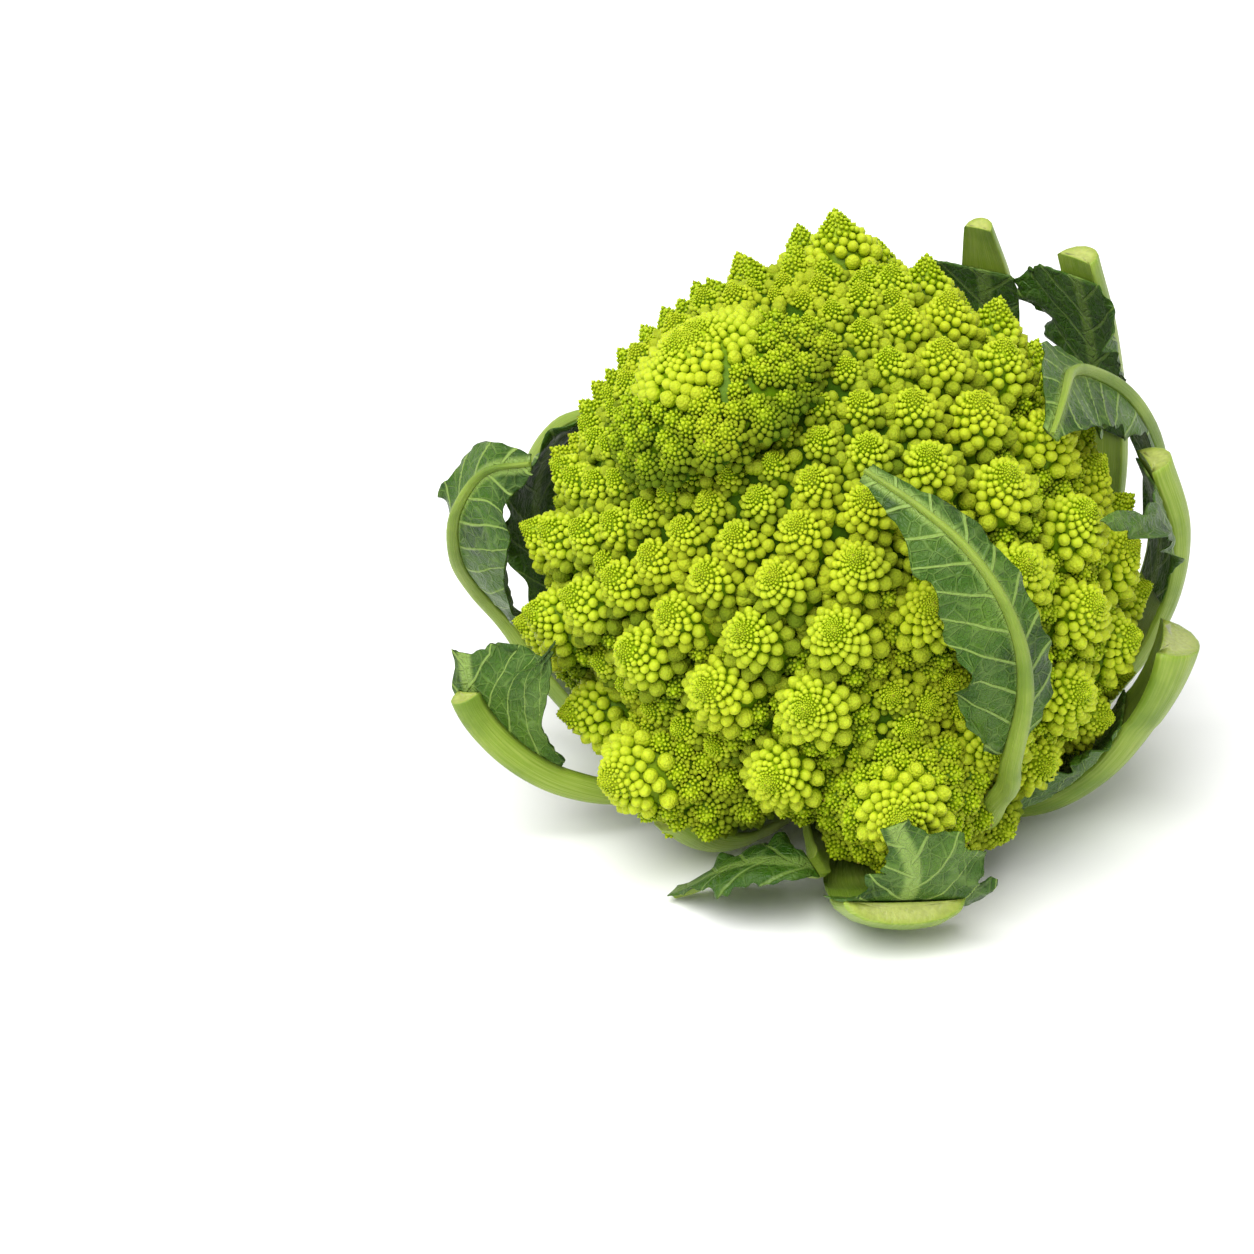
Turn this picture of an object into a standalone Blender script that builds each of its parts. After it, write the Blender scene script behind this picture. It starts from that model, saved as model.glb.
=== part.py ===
"""Romanesco head, as cut and trimmed for sale: a lime green curd of spiral florets on a short pale stalk,
with the cut stalks and torn blades of its wrapper leaves standing round it.

Metres, +Z up. The origin is the centre of the stalk's flat cut face, which the head stands on.
"""

import math

import bmesh
import bpy
import numpy as np

MM = 0.001
GAP = 0.35 * MM  # clearance between neighbouring pieces

# Colour (linear) and roughness
CURD_FINISH = ((0.50, 0.62, 0.03), 0.5)
STALK_FINISH = ((0.62, 0.70, 0.33), 0.5)
RIB_FINISH = ((0.38, 0.52, 0.16), 0.45)
LEAF_FINISH = ((0.06, 0.15, 0.07), 0.55)

# The curd as a whole
DOME_CENTRE = np.array([0.0, 0.0, 62.0]) * MM
DOME_RADIUS = 83 * MM
DOME_RISE = 94 * MM  # above the centre
DOME_DROP = 64 * MM  # below it
APEX_TILT = (-0.425, -0.31, 0.85)  # the curd's tip leans to the front left
PEAK_LIFT = 17 * MM  # the tip's cone stands this far above the dome, and fades over this angle
PEAK_SPREAD = math.radians(17)
# Swellings and hollows of the dome: direction, lift and angular spread
LOBES = (
    (APEX_TILT, -5.5 * MM, math.radians(30)),
    ((-0.05, 0.44, 0.90), 8 * MM, math.radians(16)),
    ((0.26, 0.55, 0.79), -5 * MM, math.radians(14)),
    ((0.12, -0.94, -0.32), 9 * MM, math.radians(20)),
    ((-0.62, -0.72, -0.30), 5 * MM, math.radians(18)),
    ((0.97, -0.15, -0.15), 1 * MM, math.radians(25)),
    ((0.78, 0.02, 0.62), -6 * MM, math.radians(17)),
    ((-0.97, -0.22, 0.10), 7 * MM, math.radians(24)),
)
GOLDEN_ANGLE = math.radians(137.508)
FIRST_TURN = math.radians(40)

# Floret spacing grows in step with the distance from the tip, up to the largest
SPACING_GROWTH = 0.30
SPACING_START = 2 * MM
LARGEST_SPACING = 29 * MM
BEAD_SPACING = 16 * MM  # florets closer than this are single buds here
APEX_REACH = 25 * MM  # inside this distance the tip is one beaded cone

TIP_CONE_WIDTH = 1.1  # radius of the beaded tip, as a share of that distance
TIP_CONE_HEIGHT = 0.56  # its height, as a share of the same
LOWEST_FLORET = 33 * MM  # no floret's middle is lower than this
FLORET_LEAN = 0.5  # how far a floret leans from the dome's normal towards the curd's own tip
TURN_STEP = 0.7  # each floret is turned this many radians more on its axis than the one before
PACKING = 0.866  # area of a floret's place, as a share of its spacing squared
COVERED = 0.8  # the florets cover this share of the dome, from its tip down
# Florets that stand out from the spiral: tip in millimetres and spacing
STANDOUTS = (
    ((11, -96, 42), 52 * MM),
    ((-65, -62, 36), 42 * MM),
    ((-3, 22, 163), 32 * MM),
)
STANDOUT_CLEARANCE = 0.85  # share of the usual spacing kept clear round them

# The size of a floret's cone, in shares of its spacing
FLORET_RADIUS = 0.47
FLORET_HEIGHT = 0.86
SMALL_BUD_RADIUS = 0.54
SMALL_BUD_HEIGHT = 0.75
# For each kind of floret: its largest spacing, rows of buds, buds in a row and growth from row to row
FLORET_KINDS = (
    (30 * MM, 1, 7, 1.8),
    (70 * MM, 3, 8, 1.5),
)
TIP_KIND = (5, 11, 1.36)  # rows, buds and growth of the beaded tip

CORE_DEPTH = 0.53  # the core lies this share of the spacing below the tips
CORE_BOTTOM = 30 * MM
SHORTEST_EDGE = 0.04 * MM

# The pale stalk
STALK_RADIUS = 17.5 * MM
STALK_TOP = 34 * MM
STALK_SIDES = 20
CROWN_BOTTOM = 25 * MM  # the stalk narrows into the curd between these heights
CROWN_TOP = 48 * MM
CROWN_FOOT_RADIUS = 16.5 * MM
CROWN_TOP_RADIUS = 10.5 * MM
CROWN_SIDES = 12
BRANCH_COUNT = 9
BRANCH_TURN = 0.3  # of the step between two branches
BRANCH_START = (-4 * MM, 29 * MM)  # distance outwards and height
BRANCH_END = (48 * MM, 42 * MM)
BRANCH_RADII = (6.5 * MM, 8 * MM)
BRANCH_SIDES = 7


def material(name, colour, roughness):
    made = bpy.data.materials.new(name)
    made.use_nodes = True
    shader = made.node_tree.nodes["Principled BSDF"]
    shader.inputs["Base Color"].default_value = (*colour, 1.0)
    shader.inputs["Roughness"].default_value = roughness
    shader.inputs["Metallic"].default_value = 0.0
    return made


def mesh_object(name, points, faces, finish=None):
    mesh = bpy.data.meshes.new(name)
    mesh.from_pydata([tuple(p) for p in points], [], [tuple(f) for f in faces])
    mesh.update()
    made = bpy.data.objects.new(name, mesh)
    bpy.context.scene.collection.objects.link(made)
    if finish:
        mesh.materials.append(finish)
    return made


def unit(vector):
    return vector / np.linalg.norm(vector)


def across(axis):
    """Two unit vectors square to the axis and to each other."""
    helper = np.array([0.0, 0.0, 1.0]) if abs(axis[2]) < 0.9 else np.array([1.0, 0.0, 0.0])
    first = unit(np.cross(helper, axis))
    return first, np.cross(axis, first)


# The curd: where its florets stand

APEX = unit(np.array(APEX_TILT))
MEAN_REACH = (2 * DOME_RADIUS + DOME_RISE) / 3


def dome_reach(direction):
    """Distance from the dome's centre to the floret tips in this direction."""
    height = DOME_RISE if direction[2] > 0 else DOME_DROP
    flat = direction[0] ** 2 + direction[1] ** 2
    reach = 1 / math.sqrt(flat / DOME_RADIUS**2 + direction[2] ** 2 / height**2)
    for lobe, lift, spread in LOBES:
        apart = math.acos(max(-1.0, min(1.0, float(direction @ unit(np.array(lobe))))))
        reach += lift * math.exp(-((apart / spread) ** 2))
    off_tip = math.acos(max(-1.0, min(1.0, float(direction @ APEX))))
    return reach + PEAK_LIFT * math.exp(-off_tip / PEAK_SPREAD)


def floret_spacing(distance):
    return min(LARGEST_SPACING, SPACING_GROWTH * (distance - SPACING_START))


def floret_sites():
    """Direction from the dome's centre and spacing of each floret, on one golden-angle spiral from the tip."""
    first, second = across(APEX)
    sites = []
    distance = APEX_REACH
    count = 0.0
    step = 0.2 * MM
    while distance < COVERED * math.pi * MEAN_REACH:
        ring = 2 * math.pi * MEAN_REACH * math.sin(distance / MEAN_REACH)
        share = ring * step / (PACKING * floret_spacing(distance) ** 2)
        if math.floor(count + share) > math.floor(count):
            off_tip = distance / MEAN_REACH
            turn = FIRST_TURN + math.floor(count + share) * GOLDEN_ANGLE
            side = math.cos(turn) * first + math.sin(turn) * second
            sites.append((math.cos(off_tip) * APEX + math.sin(off_tip) * side, floret_spacing(distance)))
        count += share
        distance += step
    return sites


def near_standout(tip, spacing):
    for place, wide in STANDOUTS:
        if np.linalg.norm(tip - np.array(place) * MM) < 0.5 * (wide + spacing) * STANDOUT_CLEARANCE:
            return True
    return False


def floret_axis(direction):
    return unit(direction + FLORET_LEAN * APEX)


# The curd: the shape of one floret

CONE_POWER = 0.88  # under 1 rounds the cone's flanks
CONE_ROOT = 1.75  # the cone tapers to a point this many heights below its tip
TIP_RISE = 0.12  # the end bud stands this share of the first row's depth above the cone
BUD_RELIEF = 0.4  # how far a bud stands out, as a share of its width
BUD_TILT = math.radians(38)  # buds point this far up from square to the axis
BUD_SHIFT = 0.12  # a bud's point is this share of a row above the middle of its place
BUD_CONE_SIDES = 5
BUD_SHOULDER = (0.62, -0.3)  # of a plain bud: share of its radius, and of its height


def beaded_cone(radius, height, rows, buds, ratio):
    """A cone of pointed buds in staggered rows, tip up at the origin, as points and triangles."""
    step = 2 * math.pi / buds

    def body(row, turn, out=0.0):
        depth = height * ratio ** (row - rows)
        reach = radius * (depth / height) ** CONE_POWER
        reach += out * math.cos(BUD_TILT)
        return [reach * math.cos(turn), reach * math.sin(turn), out * math.sin(BUD_TILT) - depth]

    points = [[0, 0, TIP_RISE * height * ratio ** (1 - rows)]]
    index = {}

    def add(key, row, turn, out=0.0):
        index[key] = len(points)
        points.append(body(row, turn, out))

    for gap in range(rows + 1):
        for bud in range(buds):
            if gap > 0:
                add(("side", gap, bud), gap + 1 / 3, step * (bud + 0.5 + 0.5 * gap))
            if gap < rows:
                add(("head", gap, bud), gap + 2 / 3, step * (bud + 0.5 * gap))
    for row in range(1, rows + 1):
        width = step * radius * ratio ** ((row - rows) * CONE_POWER)
        for bud in range(buds):
            add(("bud", row, bud), row - BUD_SHIFT, step * (bud + 0.5 * row), BUD_RELIEF * width)
    faces = []
    for row in range(1, rows + 1):
        for bud in range(buds):
            after, before = (bud + 1) % buds, (bud - 1) % buds
            ring = [("side", row - 1, bud)] if row > 1 else []
            ring += [("head", row - 1, bud), ("side", row, before)]
            ring += [("head", row, bud)] if row < rows else []
            ring += [("side", row, bud), ("head", row - 1, after)]
            # Gap numbers shift the stagger, so each key names the corner beside this bud.
            corners = [index[key] for key in ring]
            for i, corner in enumerate(corners):
                faces.append((index[("bud", row, bud)], corner, corners[(i + 1) % len(corners)]))
    root = len(points)
    points.append([0, 0, -CONE_ROOT * height])
    for bud in range(buds):
        after = (bud + 1) % buds
        faces.append((0, index[("head", 0, bud)], index[("head", 0, after)]))
        faces.append((root, index[("side", rows, after)], index[("side", rows, bud)]))
    return np.array(points), faces


def bud_cone(radius, height):
    """One plain pointed bud, for the small florets round the tip, as points and triangles."""
    sides = BUD_CONE_SIDES
    shoulder, middle = BUD_SHOULDER[0] * radius, BUD_SHOULDER[1] * height
    turns = [2 * math.pi / sides * i for i in range(sides)]
    points = [[0, 0, 0]]
    points += [[shoulder * math.cos(t), shoulder * math.sin(t), middle] for t in turns]
    points += [[radius * math.cos(t), radius * math.sin(t), -height] for t in turns]
    points += [[0, 0, -CONE_ROOT * height]]
    last = 2 * sides + 1
    faces = []
    for i in range(sides):
        j = (i + 1) % sides
        a, b, c, d = 1 + i, 1 + j, 1 + sides + i, 1 + sides + j
        faces += [(0, a, b), (a, c, d), (a, d, b), (last, d, c)]
    return np.array(points), faces


def placed(points, tip, axis, turn):
    first, second = across(axis)
    spun = math.cos(turn) * first + math.sin(turn) * second
    other = np.cross(axis, spun)
    return tip + points @ np.array([spun, other, axis])


def floret_shape(spacing):
    """Rows and buds by size, so that a small floret has fewer faces."""
    if spacing < BEAD_SPACING:
        return bud_cone(SMALL_BUD_RADIUS * spacing, SMALL_BUD_HEIGHT * spacing)
    rows, buds, ratio = next(kind[1:] for kind in FLORET_KINDS if spacing < kind[0])
    return beaded_cone(FLORET_RADIUS * spacing, FLORET_HEIGHT * spacing, rows, buds, ratio)


def floret(name, tip, axis, spacing, turn, finish):
    points, faces = floret_shape(spacing)
    return mesh_object(name, placed(points, tip, axis, turn), faces, finish)


def curd_florets(finish):
    made = []
    for number, (direction, spacing) in enumerate(floret_sites()):
        tip = DOME_CENTRE + dome_reach(direction) * direction
        axis = floret_axis(direction)
        middle = tip - 0.5 * spacing * axis
        if middle[2] > LOWEST_FLORET and not near_standout(tip, spacing):
            made.append(floret(f"floret_{number}", tip, axis, spacing, TURN_STEP * number, finish))
    for number, (place, spacing) in enumerate(STANDOUTS):
        tip = np.array(place) * MM
        axis = floret_axis(unit(tip - DOME_CENTRE))
        made.append(floret(f"standout_{number}", tip, axis, spacing, 0.0, finish))
    points, faces = beaded_cone(TIP_CONE_WIDTH * APEX_REACH, TIP_CONE_HEIGHT * APEX_REACH, *TIP_KIND)
    tip = DOME_CENTRE + dome_reach(APEX) * APEX
    made.append(mesh_object("tip_floret", placed(points, tip, APEX, 0.0), faces, finish))
    return made


def curd_core(finish):
    """The solid middle that the florets grow from: the dome, less the florets' depth, cut level below."""
    ball = bmesh.new()
    bmesh.ops.create_icosphere(ball, subdivisions=3, radius=1.0)
    for corner in ball.verts:
        direction = unit(np.array(corner.co))
        off_tip = math.acos(max(-1.0, min(1.0, float(direction @ APEX))))
        depth = CORE_DEPTH * floret_spacing(max(APEX_REACH, off_tip * MEAN_REACH))
        place = DOME_CENTRE + (dome_reach(direction) - depth) * direction
        place[2] = max(place[2], CORE_BOTTOM)
        corner.co = place
    made = mesh_object("curd", [], [], finish)
    ball.to_mesh(made.data)
    ball.free()
    return made


# Fusing and cutting

def boolean(target, others, operation):
    """Joins others to the target, or cuts them out of it, in one step, and removes them."""
    group = bpy.data.collections.new("operands")
    bpy.context.scene.collection.children.link(group)
    for other in others:
        other.hide_render = True
        other.display_type = "WIRE"
        group.objects.link(other)
    step = target.modifiers.new(operation, "BOOLEAN")
    step.operation = operation
    step.operand_type = "COLLECTION"
    step.collection = group
    step.solver = "MANIFOLD"
    apply_modifiers(target)
    for other in others:
        bpy.data.objects.remove(other)
    bpy.data.collections.remove(group)


def apply_modifiers(target):
    graph = bpy.context.evaluated_depsgraph_get()
    graph.update()
    fused = bpy.data.meshes.new_from_object(target.evaluated_get(graph))
    target.modifiers.clear()
    target.data = fused


def keep_largest(target):
    """Drops loose scraps, and fills hollows that fusing sealed, by keeping only the largest shell."""
    shape = bmesh.new()
    shape.from_mesh(target.data)
    left = set(shape.verts)
    shells = []
    while left:
        shell, edge = set(), [left.pop()]
        while edge:
            corner = edge.pop()
            shell.add(corner)
            near = [e.other_vert(corner) for e in corner.link_edges]
            edge += [v for v in near if v in left]
            left -= set(near)
        shells.append(shell)
    shells.sort(key=len)
    for shell in shells[:-1]:
        bmesh.ops.delete(shape, geom=list(shell), context="VERTS")
    bmesh.ops.triangulate(shape, faces=shape.faces[:])
    shape.to_mesh(target.data)
    shape.free()


def close_short_edges(target):
    """Closes each edge under the least length to a point, where the skin stays whole without it."""
    shape = bmesh.new()
    shape.from_mesh(target.data)
    closed = 1
    while closed:
        closed = 0
        short = [e for e in shape.edges if e.calc_length() < SHORTEST_EDGE]
        for edge in short:
            if not edge.is_valid:
                continue
            kept, lost = edge.verts
            near_kept = {e.other_vert(kept) for e in kept.link_edges}
            near_lost = {e.other_vert(lost) for e in lost.link_edges}
            if len(near_kept & near_lost) != 2:
                continue
            bmesh.ops.pointmerge(shape, verts=[kept, lost], merge_co=(kept.co + lost.co) / 2)
            closed += 1
    shape.to_mesh(target.data)
    shape.free()


# The stalk

def tapered_bar(name, start, end, start_radius, end_radius, sides, finish):
    axis = unit(end - start)
    first, second = across(axis)
    points = []
    for middle, radius in ((start, start_radius), (end, end_radius)):
        for i in range(sides):
            turn = 2 * math.pi * i / sides
            points.append(middle + radius * (math.cos(turn) * first + math.sin(turn) * second))
    faces = [(i, (i + 1) % sides, sides + (i + 1) % sides, sides + i) for i in range(sides)]
    faces += [tuple(reversed(range(sides))), tuple(range(sides, 2 * sides))]
    return mesh_object(name, points, faces, finish)


def stalk(finish, extra=0.0):
    """The cut main stem, with the branches that spread from its top to the outer florets."""
    foot = np.array([0.0, 0.0, -extra])
    top = np.array([0.0, 0.0, STALK_TOP])
    made = tapered_bar("stalk", foot, top, STALK_RADIUS + extra, STALK_RADIUS + extra, STALK_SIDES, finish)
    crown_foot = np.array([0.0, 0.0, CROWN_BOTTOM])
    crown_top = np.array([0.0, 0.0, CROWN_TOP + extra])
    radii = CROWN_FOOT_RADIUS + extra, CROWN_TOP_RADIUS + extra
    upper = [tapered_bar("crown", crown_foot, crown_top, *radii, CROWN_SIDES, finish)]
    for number in range(BRANCH_COUNT):
        turn = 2 * math.pi * (number + BRANCH_TURN) / BRANCH_COUNT
        outwards = np.array([math.cos(turn), math.sin(turn), 0.0])
        start = BRANCH_START[0] * outwards + np.array([0, 0, BRANCH_START[1]])
        end = BRANCH_END[0] * outwards + np.array([0, 0, BRANCH_END[1]])
        end = end + extra * unit(end - start)
        radii = BRANCH_RADII[0] + extra, BRANCH_RADII[1] + extra
        upper.append(tapered_bar(f"branch_{number}", start, end, *radii, BRANCH_SIDES, finish))
    boolean(made, upper, "UNION")
    keep_largest(made)
    close_short_edges(made)
    return made


# The leaves. Each spine runs from the stalk outwards, in millimetres; widths and thicknesses are given at
# shares of its length. "left" is the side to the left of someone who looks at the leaf from outside.

LEAVES = {
    "leaf_front": {
        "spine": [(9.8, -15, 20), (14, -21.5, 20), (23, -34, 18), (33, -53, 22), (37, -68, 38),
                  (39.5, -79, 56), (41, -85, 74), (38.5, -89, 90), (32.5, -90, 104), (24, -88, 115),
                  (13, -83, 123), (1, -76, 129)],
        "rib": [(0, 12, 5), (0.25, 9, 5), (0.45, 5.5, 4), (0.7, 3, 2.4), (1, 1.3, 1.1)],
        "left": [(0.47, 5), (0.51, 12), (0.57, 17), (0.70, 18), (0.84, 13), (0.94, 7), (1, 1.5)],
        "right": [(0.47, 3), (0.51, 6), (0.56, 10), (0.68, 8), (0.84, 7), (0.94, 5), (1, 1.5)],
        "curl": (0.010, 0.012),
    },
    "leaf_right_low": {
        "spine": [(17.2, -5.2, 8), (38, -11, 8), (54, -14, 11), (67, -15, 21), (76, -15, 35), (81, -14, 56)],
        "rib": [(0, 13, 6), (0.3, 18, 6.5), (0.7, 24, 8.5), (1, 28, 11)],
        "left": [(0.34, 14), (0.42, 40), (0.55, 42), (0.68, 29), (0.76, 17)],
        "right": [(0.34, 3), (0.50, 10), (0.68, 11), (0.76, 11)],
        "curl": (0.036, 0.03),
    },
    "leaf_right_mid": {
        "spine": [(17.9, 0.8, 20), (26, 1.4, 20), (42, 4, 17), (60, 7, 21), (75, 10, 36), (85, 12, 56),
                  (87, 12, 76), (81, 11, 95)],
        "rib": [(0, 12, 5.5), (0.3, 15, 6), (0.7, 17, 7), (1, 16, 7)],
        "left": [(0.70, 3), (0.78, 14), (0.86, 34), (0.93, 50), (0.975, 57)],
        "right": [(0.70, 3), (0.80, 10), (0.93, 10), (0.975, 9)],
        "curl": (0.017, 0.02),
        "sweep": 0.4,
    },
    "leaf_right_high": {
        "spine": [(16.3, 7.3, 8), (40, 18, 8), (64, 28, 14), (81, 35, 31), (89, 38, 54), (88, 38, 76),
                  (85, 34, 91), (80, 27, 103), (74, 20, 112), (67, 12, 119), (60, 1, 125), (55.5, -13, 127),
                  (52, -27, 126), (48, -39, 122)],
        "rib": [(0, 13, 6), (0.35, 13, 6), (0.5, 8, 4.5), (0.7, 4, 2.8), (1, 1.3, 1.1)],
        "left": [(0.46, 3), (0.60, 6), (0.68, 12), (0.80, 19), (0.92, 15), (1, 1.5)],
        "right": [(0.46, 3), (0.56, 8), (0.68, 11), (0.80, 11), (0.92, 9), (1, 1.5)],
        "curl": (0.03, 0.022),
    },
    "leaf_right_top": {
        "spine": [(12.7, 12.7, 20), (19, 19, 20), (32, 31, 17.5), (53, 47, 21), (69, 57, 39), (75, 60, 65),
                  (74, 59, 92), (70, 55, 116), (64, 51, 138)],
        "rib": [(0, 12, 5.5), (0.3, 15, 6), (0.7, 16, 7), (1, 13, 6.5)],
        "left": [(0.70, 3), (0.78, 14), (0.88, 20), (0.94, 16), (0.97, 9)],
        "right": [(0.70, 3), (0.78, 13), (0.88, 21), (0.94, 24), (0.97, 18)],
        "curl": (0.11, 0.012),
    },
    "leaf_back_right": {
        "spine": [(7.3, 16.4, 8), (20, 42, 8), (32, 64, 16), (40, 79, 34), (45, 86, 62), (45, 84, 92),
                  (43, 76, 120), (39, 67, 141)],
        "rib": [(0, 13, 6), (0.3, 15, 6), (0.7, 17, 7), (0.9, 15, 6.5), (1, 8, 4.5)],
        "left": [(0.54, 3), (0.70, 9), (0.80, 9), (0.92, 9.5)],
        "right": [(0.54, 3), (0.64, 14), (0.80, 24), (0.88, 26), (0.92, 19)],
        "curl": (0.022, 0.022),
    },
    "leaf_back": {
        "spine": [(-0.4, 17.9, 20), (-0.8, 26, 20), (-2, 42, 17), (-3, 63, 21), (-4, 80, 40), (-4, 88, 66),
                  (-4, 87, 88), (-5, 80, 103), (-6, 71, 110)],
        "rib": [(0, 12, 5.5), (0.4, 15, 6), (0.7, 11, 5), (0.9, 5, 3), (1, 1.4, 1.2)],
        "left": [(0.44, 3), (0.54, 14), (0.70, 22), (0.84, 19), (0.94, 10), (1, 1.5)],
        "right": [(0.44, 3), (0.54, 14), (0.70, 21), (0.84, 20), (0.94, 11), (1, 1.5)],
        "curl": (0.014, 0.014),
    },
    "leaf_back_mid": {
        "spine": [(-8.8, 15.6, 8), (-22, 39, 8), (-36, 61, 15), (-46, 75, 32), (-50, 81, 56), (-49, 78, 78),
                  (-46, 72, 94)],
        "rib": [(0, 13, 6), (0.3, 16, 7), (0.7, 19, 7), (1, 18, 7)],
        "left": [(0.50, 3), (0.62, 14), (0.80, 20), (0.93, 12)],
        "right": [(0.50, 3), (0.62, 15), (0.80, 22), (0.93, 14)],
        "curl": (0.02, 0.02),
    },
    "leaf_back_left": {
        "spine": [(-15.1, 9.6, 20), (-22, 14, 20), (-37, 24, 17), (-58, 37, 21), (-75, 48, 38), (-83, 53, 58),
                  (-82, 51, 76), (-75, 45, 91), (-65, 38, 99)],
        "rib": [(0, 12, 5.5), (0.4, 14, 6), (0.7, 10, 5), (0.9, 5, 3), (1, 1.4, 1.2)],
        "left": [(0.44, 3), (0.54, 13), (0.70, 19), (0.84, 17), (0.94, 9), (1, 1.5)],
        "right": [(0.44, 3), (0.54, 13), (0.70, 18), (0.84, 16), (0.94, 9), (1, 1.5)],
        "curl": (0.014, 0.014),
    },
    "leaf_left_high": {
        "spine": [(-17.7, 2.4, 8), (-42, 10, 8), (-64, 22, 13), (-80, 33, 25), (-89, 36, 37), (-98, 29, 51),
                  (-103, 17, 66), (-102, 7, 84), (-94, 1, 97), (-83, -4, 101)],
        "rib": [(0, 13, 6), (0.3, 10, 5.5), (0.55, 5.5, 4), (0.75, 3.2, 2.6), (1, 1.3, 1.1)],
        "left": [(0.53, 3), (0.66, 6), (0.78, 11), (0.92, 11), (1, 2)],
        "right": [(0.53, 9), (0.60, 20), (0.67, 28), (0.74, 32), (0.84, 29), (0.93, 15), (1, 1.5)],
        "curl": (0.03, 0.03),
        "roll": [(0, 0), (0.25, 0), (0.58, -38), (1, -30)],
    },
    "leaf_left_low": {
        "spine": [(-17.1, -5.3, 20), (-25, -7.8, 20), (-40, -13, 16.5), (-62, -21, 16), (-78, -25, 22),
                  (-91, -27, 33), (-99, -28, 46), (-100.5, -28, 57)],
        "rib": [(0, 12, 5.5), (0.31, 11, 6), (0.62, 8, 6), (1, 8, 6.5)],
        "rib_end": 0.8975,
        "left": [(0.59, 3), (0.8975, 4), (1, 3)],
        "right": [(0.59, 8), (0.69, 21.6), (0.79, 34.2), (0.8975, 38), (1, 14)],
        "curl": (0.02, 0.012),
        "roll": [(0, 0), (0.13, 0), (0.53, -32), (1, -40)],
        "sweep": 0.42,
        "stations": 5,
    },
    "leaf_front_left": {
        "spine": [(-12.7, -13.1, 8), (-25, -27, 9), (-36, -40, 13), (-45, -47, 22)],
        "rib": [(0, 13, 6), (0.5, 16, 7), (1, 15, 7)],
    },
    "leaf_table": {
        "spine": [(-5.6, -17.3, 20), (-6.5, -25, 20), (-7, -42, 17), (-6.5, -58, 15), (-7, -68, 15.5),
                  (-13, -73, 18.5), (-23, -71, 18), (-33, -66, 12.5), (-41.5, -61, 5), (-45.5, -58.5, 2.2)],
        "rib": [(0, 11, 5), (0.4, 7, 4), (0.7, 3.5, 2.4), (1, 1.4, 1.2)],
        "left": [(0.56, 5), (0.64, 12), (0.76, 15), (0.88, 11), (1, 1.5)],
        "right": [(0.56, 4), (0.64, 9), (0.76, 11), (0.88, 7), (1, 1.5)],
        "curl": (-0.02, -0.05),
        "roll": [(0, 0), (0.12, 0), (0.58, 65), (1, 60)],
    },
    "leaf_front_low": {
        "spine": [(3.2, -17.7, 7.7), (5, -36, 7.6), (6.5, -52, 7.6), (7.5, -64, 8.6), (9, -75, 13),
                  (13, -87, 20.5), (14, -97, 31), (9, -100.5, 44)],
        "rib": [(0, 14, 6), (0.4, 25, 6.5), (0.6, 32, 6.5), (0.7, 32, 6), (1, 32, 6)],
        "rib_end": 0.715,
        "left": [(0.62, 17.5), (0.72, 16), (0.84, 9), (1, 1.5)],
        "right": [(0.62, 18), (0.72, 25), (0.84, 18), (0.92, 10), (1, 1.5)],
        "curl": (0.03, 0.03),
    },
}
BARE_STATIONS = 4  # of the rib, before its blade begins
BLADE_STATIONS = 9
SAME_SHARE = 1e-6  # shares of the length nearer than this are one place
BLADE_DIVISIONS = 3
RIB_MARGIN = 0.6 * MM  # the blade lies flat on the rib and this far beyond it
LEAST_BLADE = 1.6 * MM  # beyond the rib
BLADE_THICKNESS = 0.8 * MM
TOOTH = 0.10  # depth of the cut edge, as a share of the blade's width
DEEPEST_TOOTH = 1.5 * MM
DRAPE_CLEARANCE = 1.5 * MM
UNDERSIDE = 35 * MM  # below this height the curd draws in, and a blade may tuck in under it
UNDERSIDE_FALL = 1.0  # by this share of the distance below
WAVY_WIDTH = 12 * MM  # a blade narrower than this has smaller waves
WAVE = 1.2 * MM  # height of the waves in a blade's edge
# The cross-section of a rib in half widths across and thicknesses outwards, round from its inner face
RIB_OUTLINE = ((1.0, 0.0), (0.84, 0.6), (0.34, 1.0), (-0.34, 1.0), (-0.84, 0.6), (-1.0, 0.0))


def along(knots, shares, column=1):
    """One column of a table of knots, read at these shares of the length."""
    return np.interp(shares, [k[0] for k in knots], [k[column] for k in knots])


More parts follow.
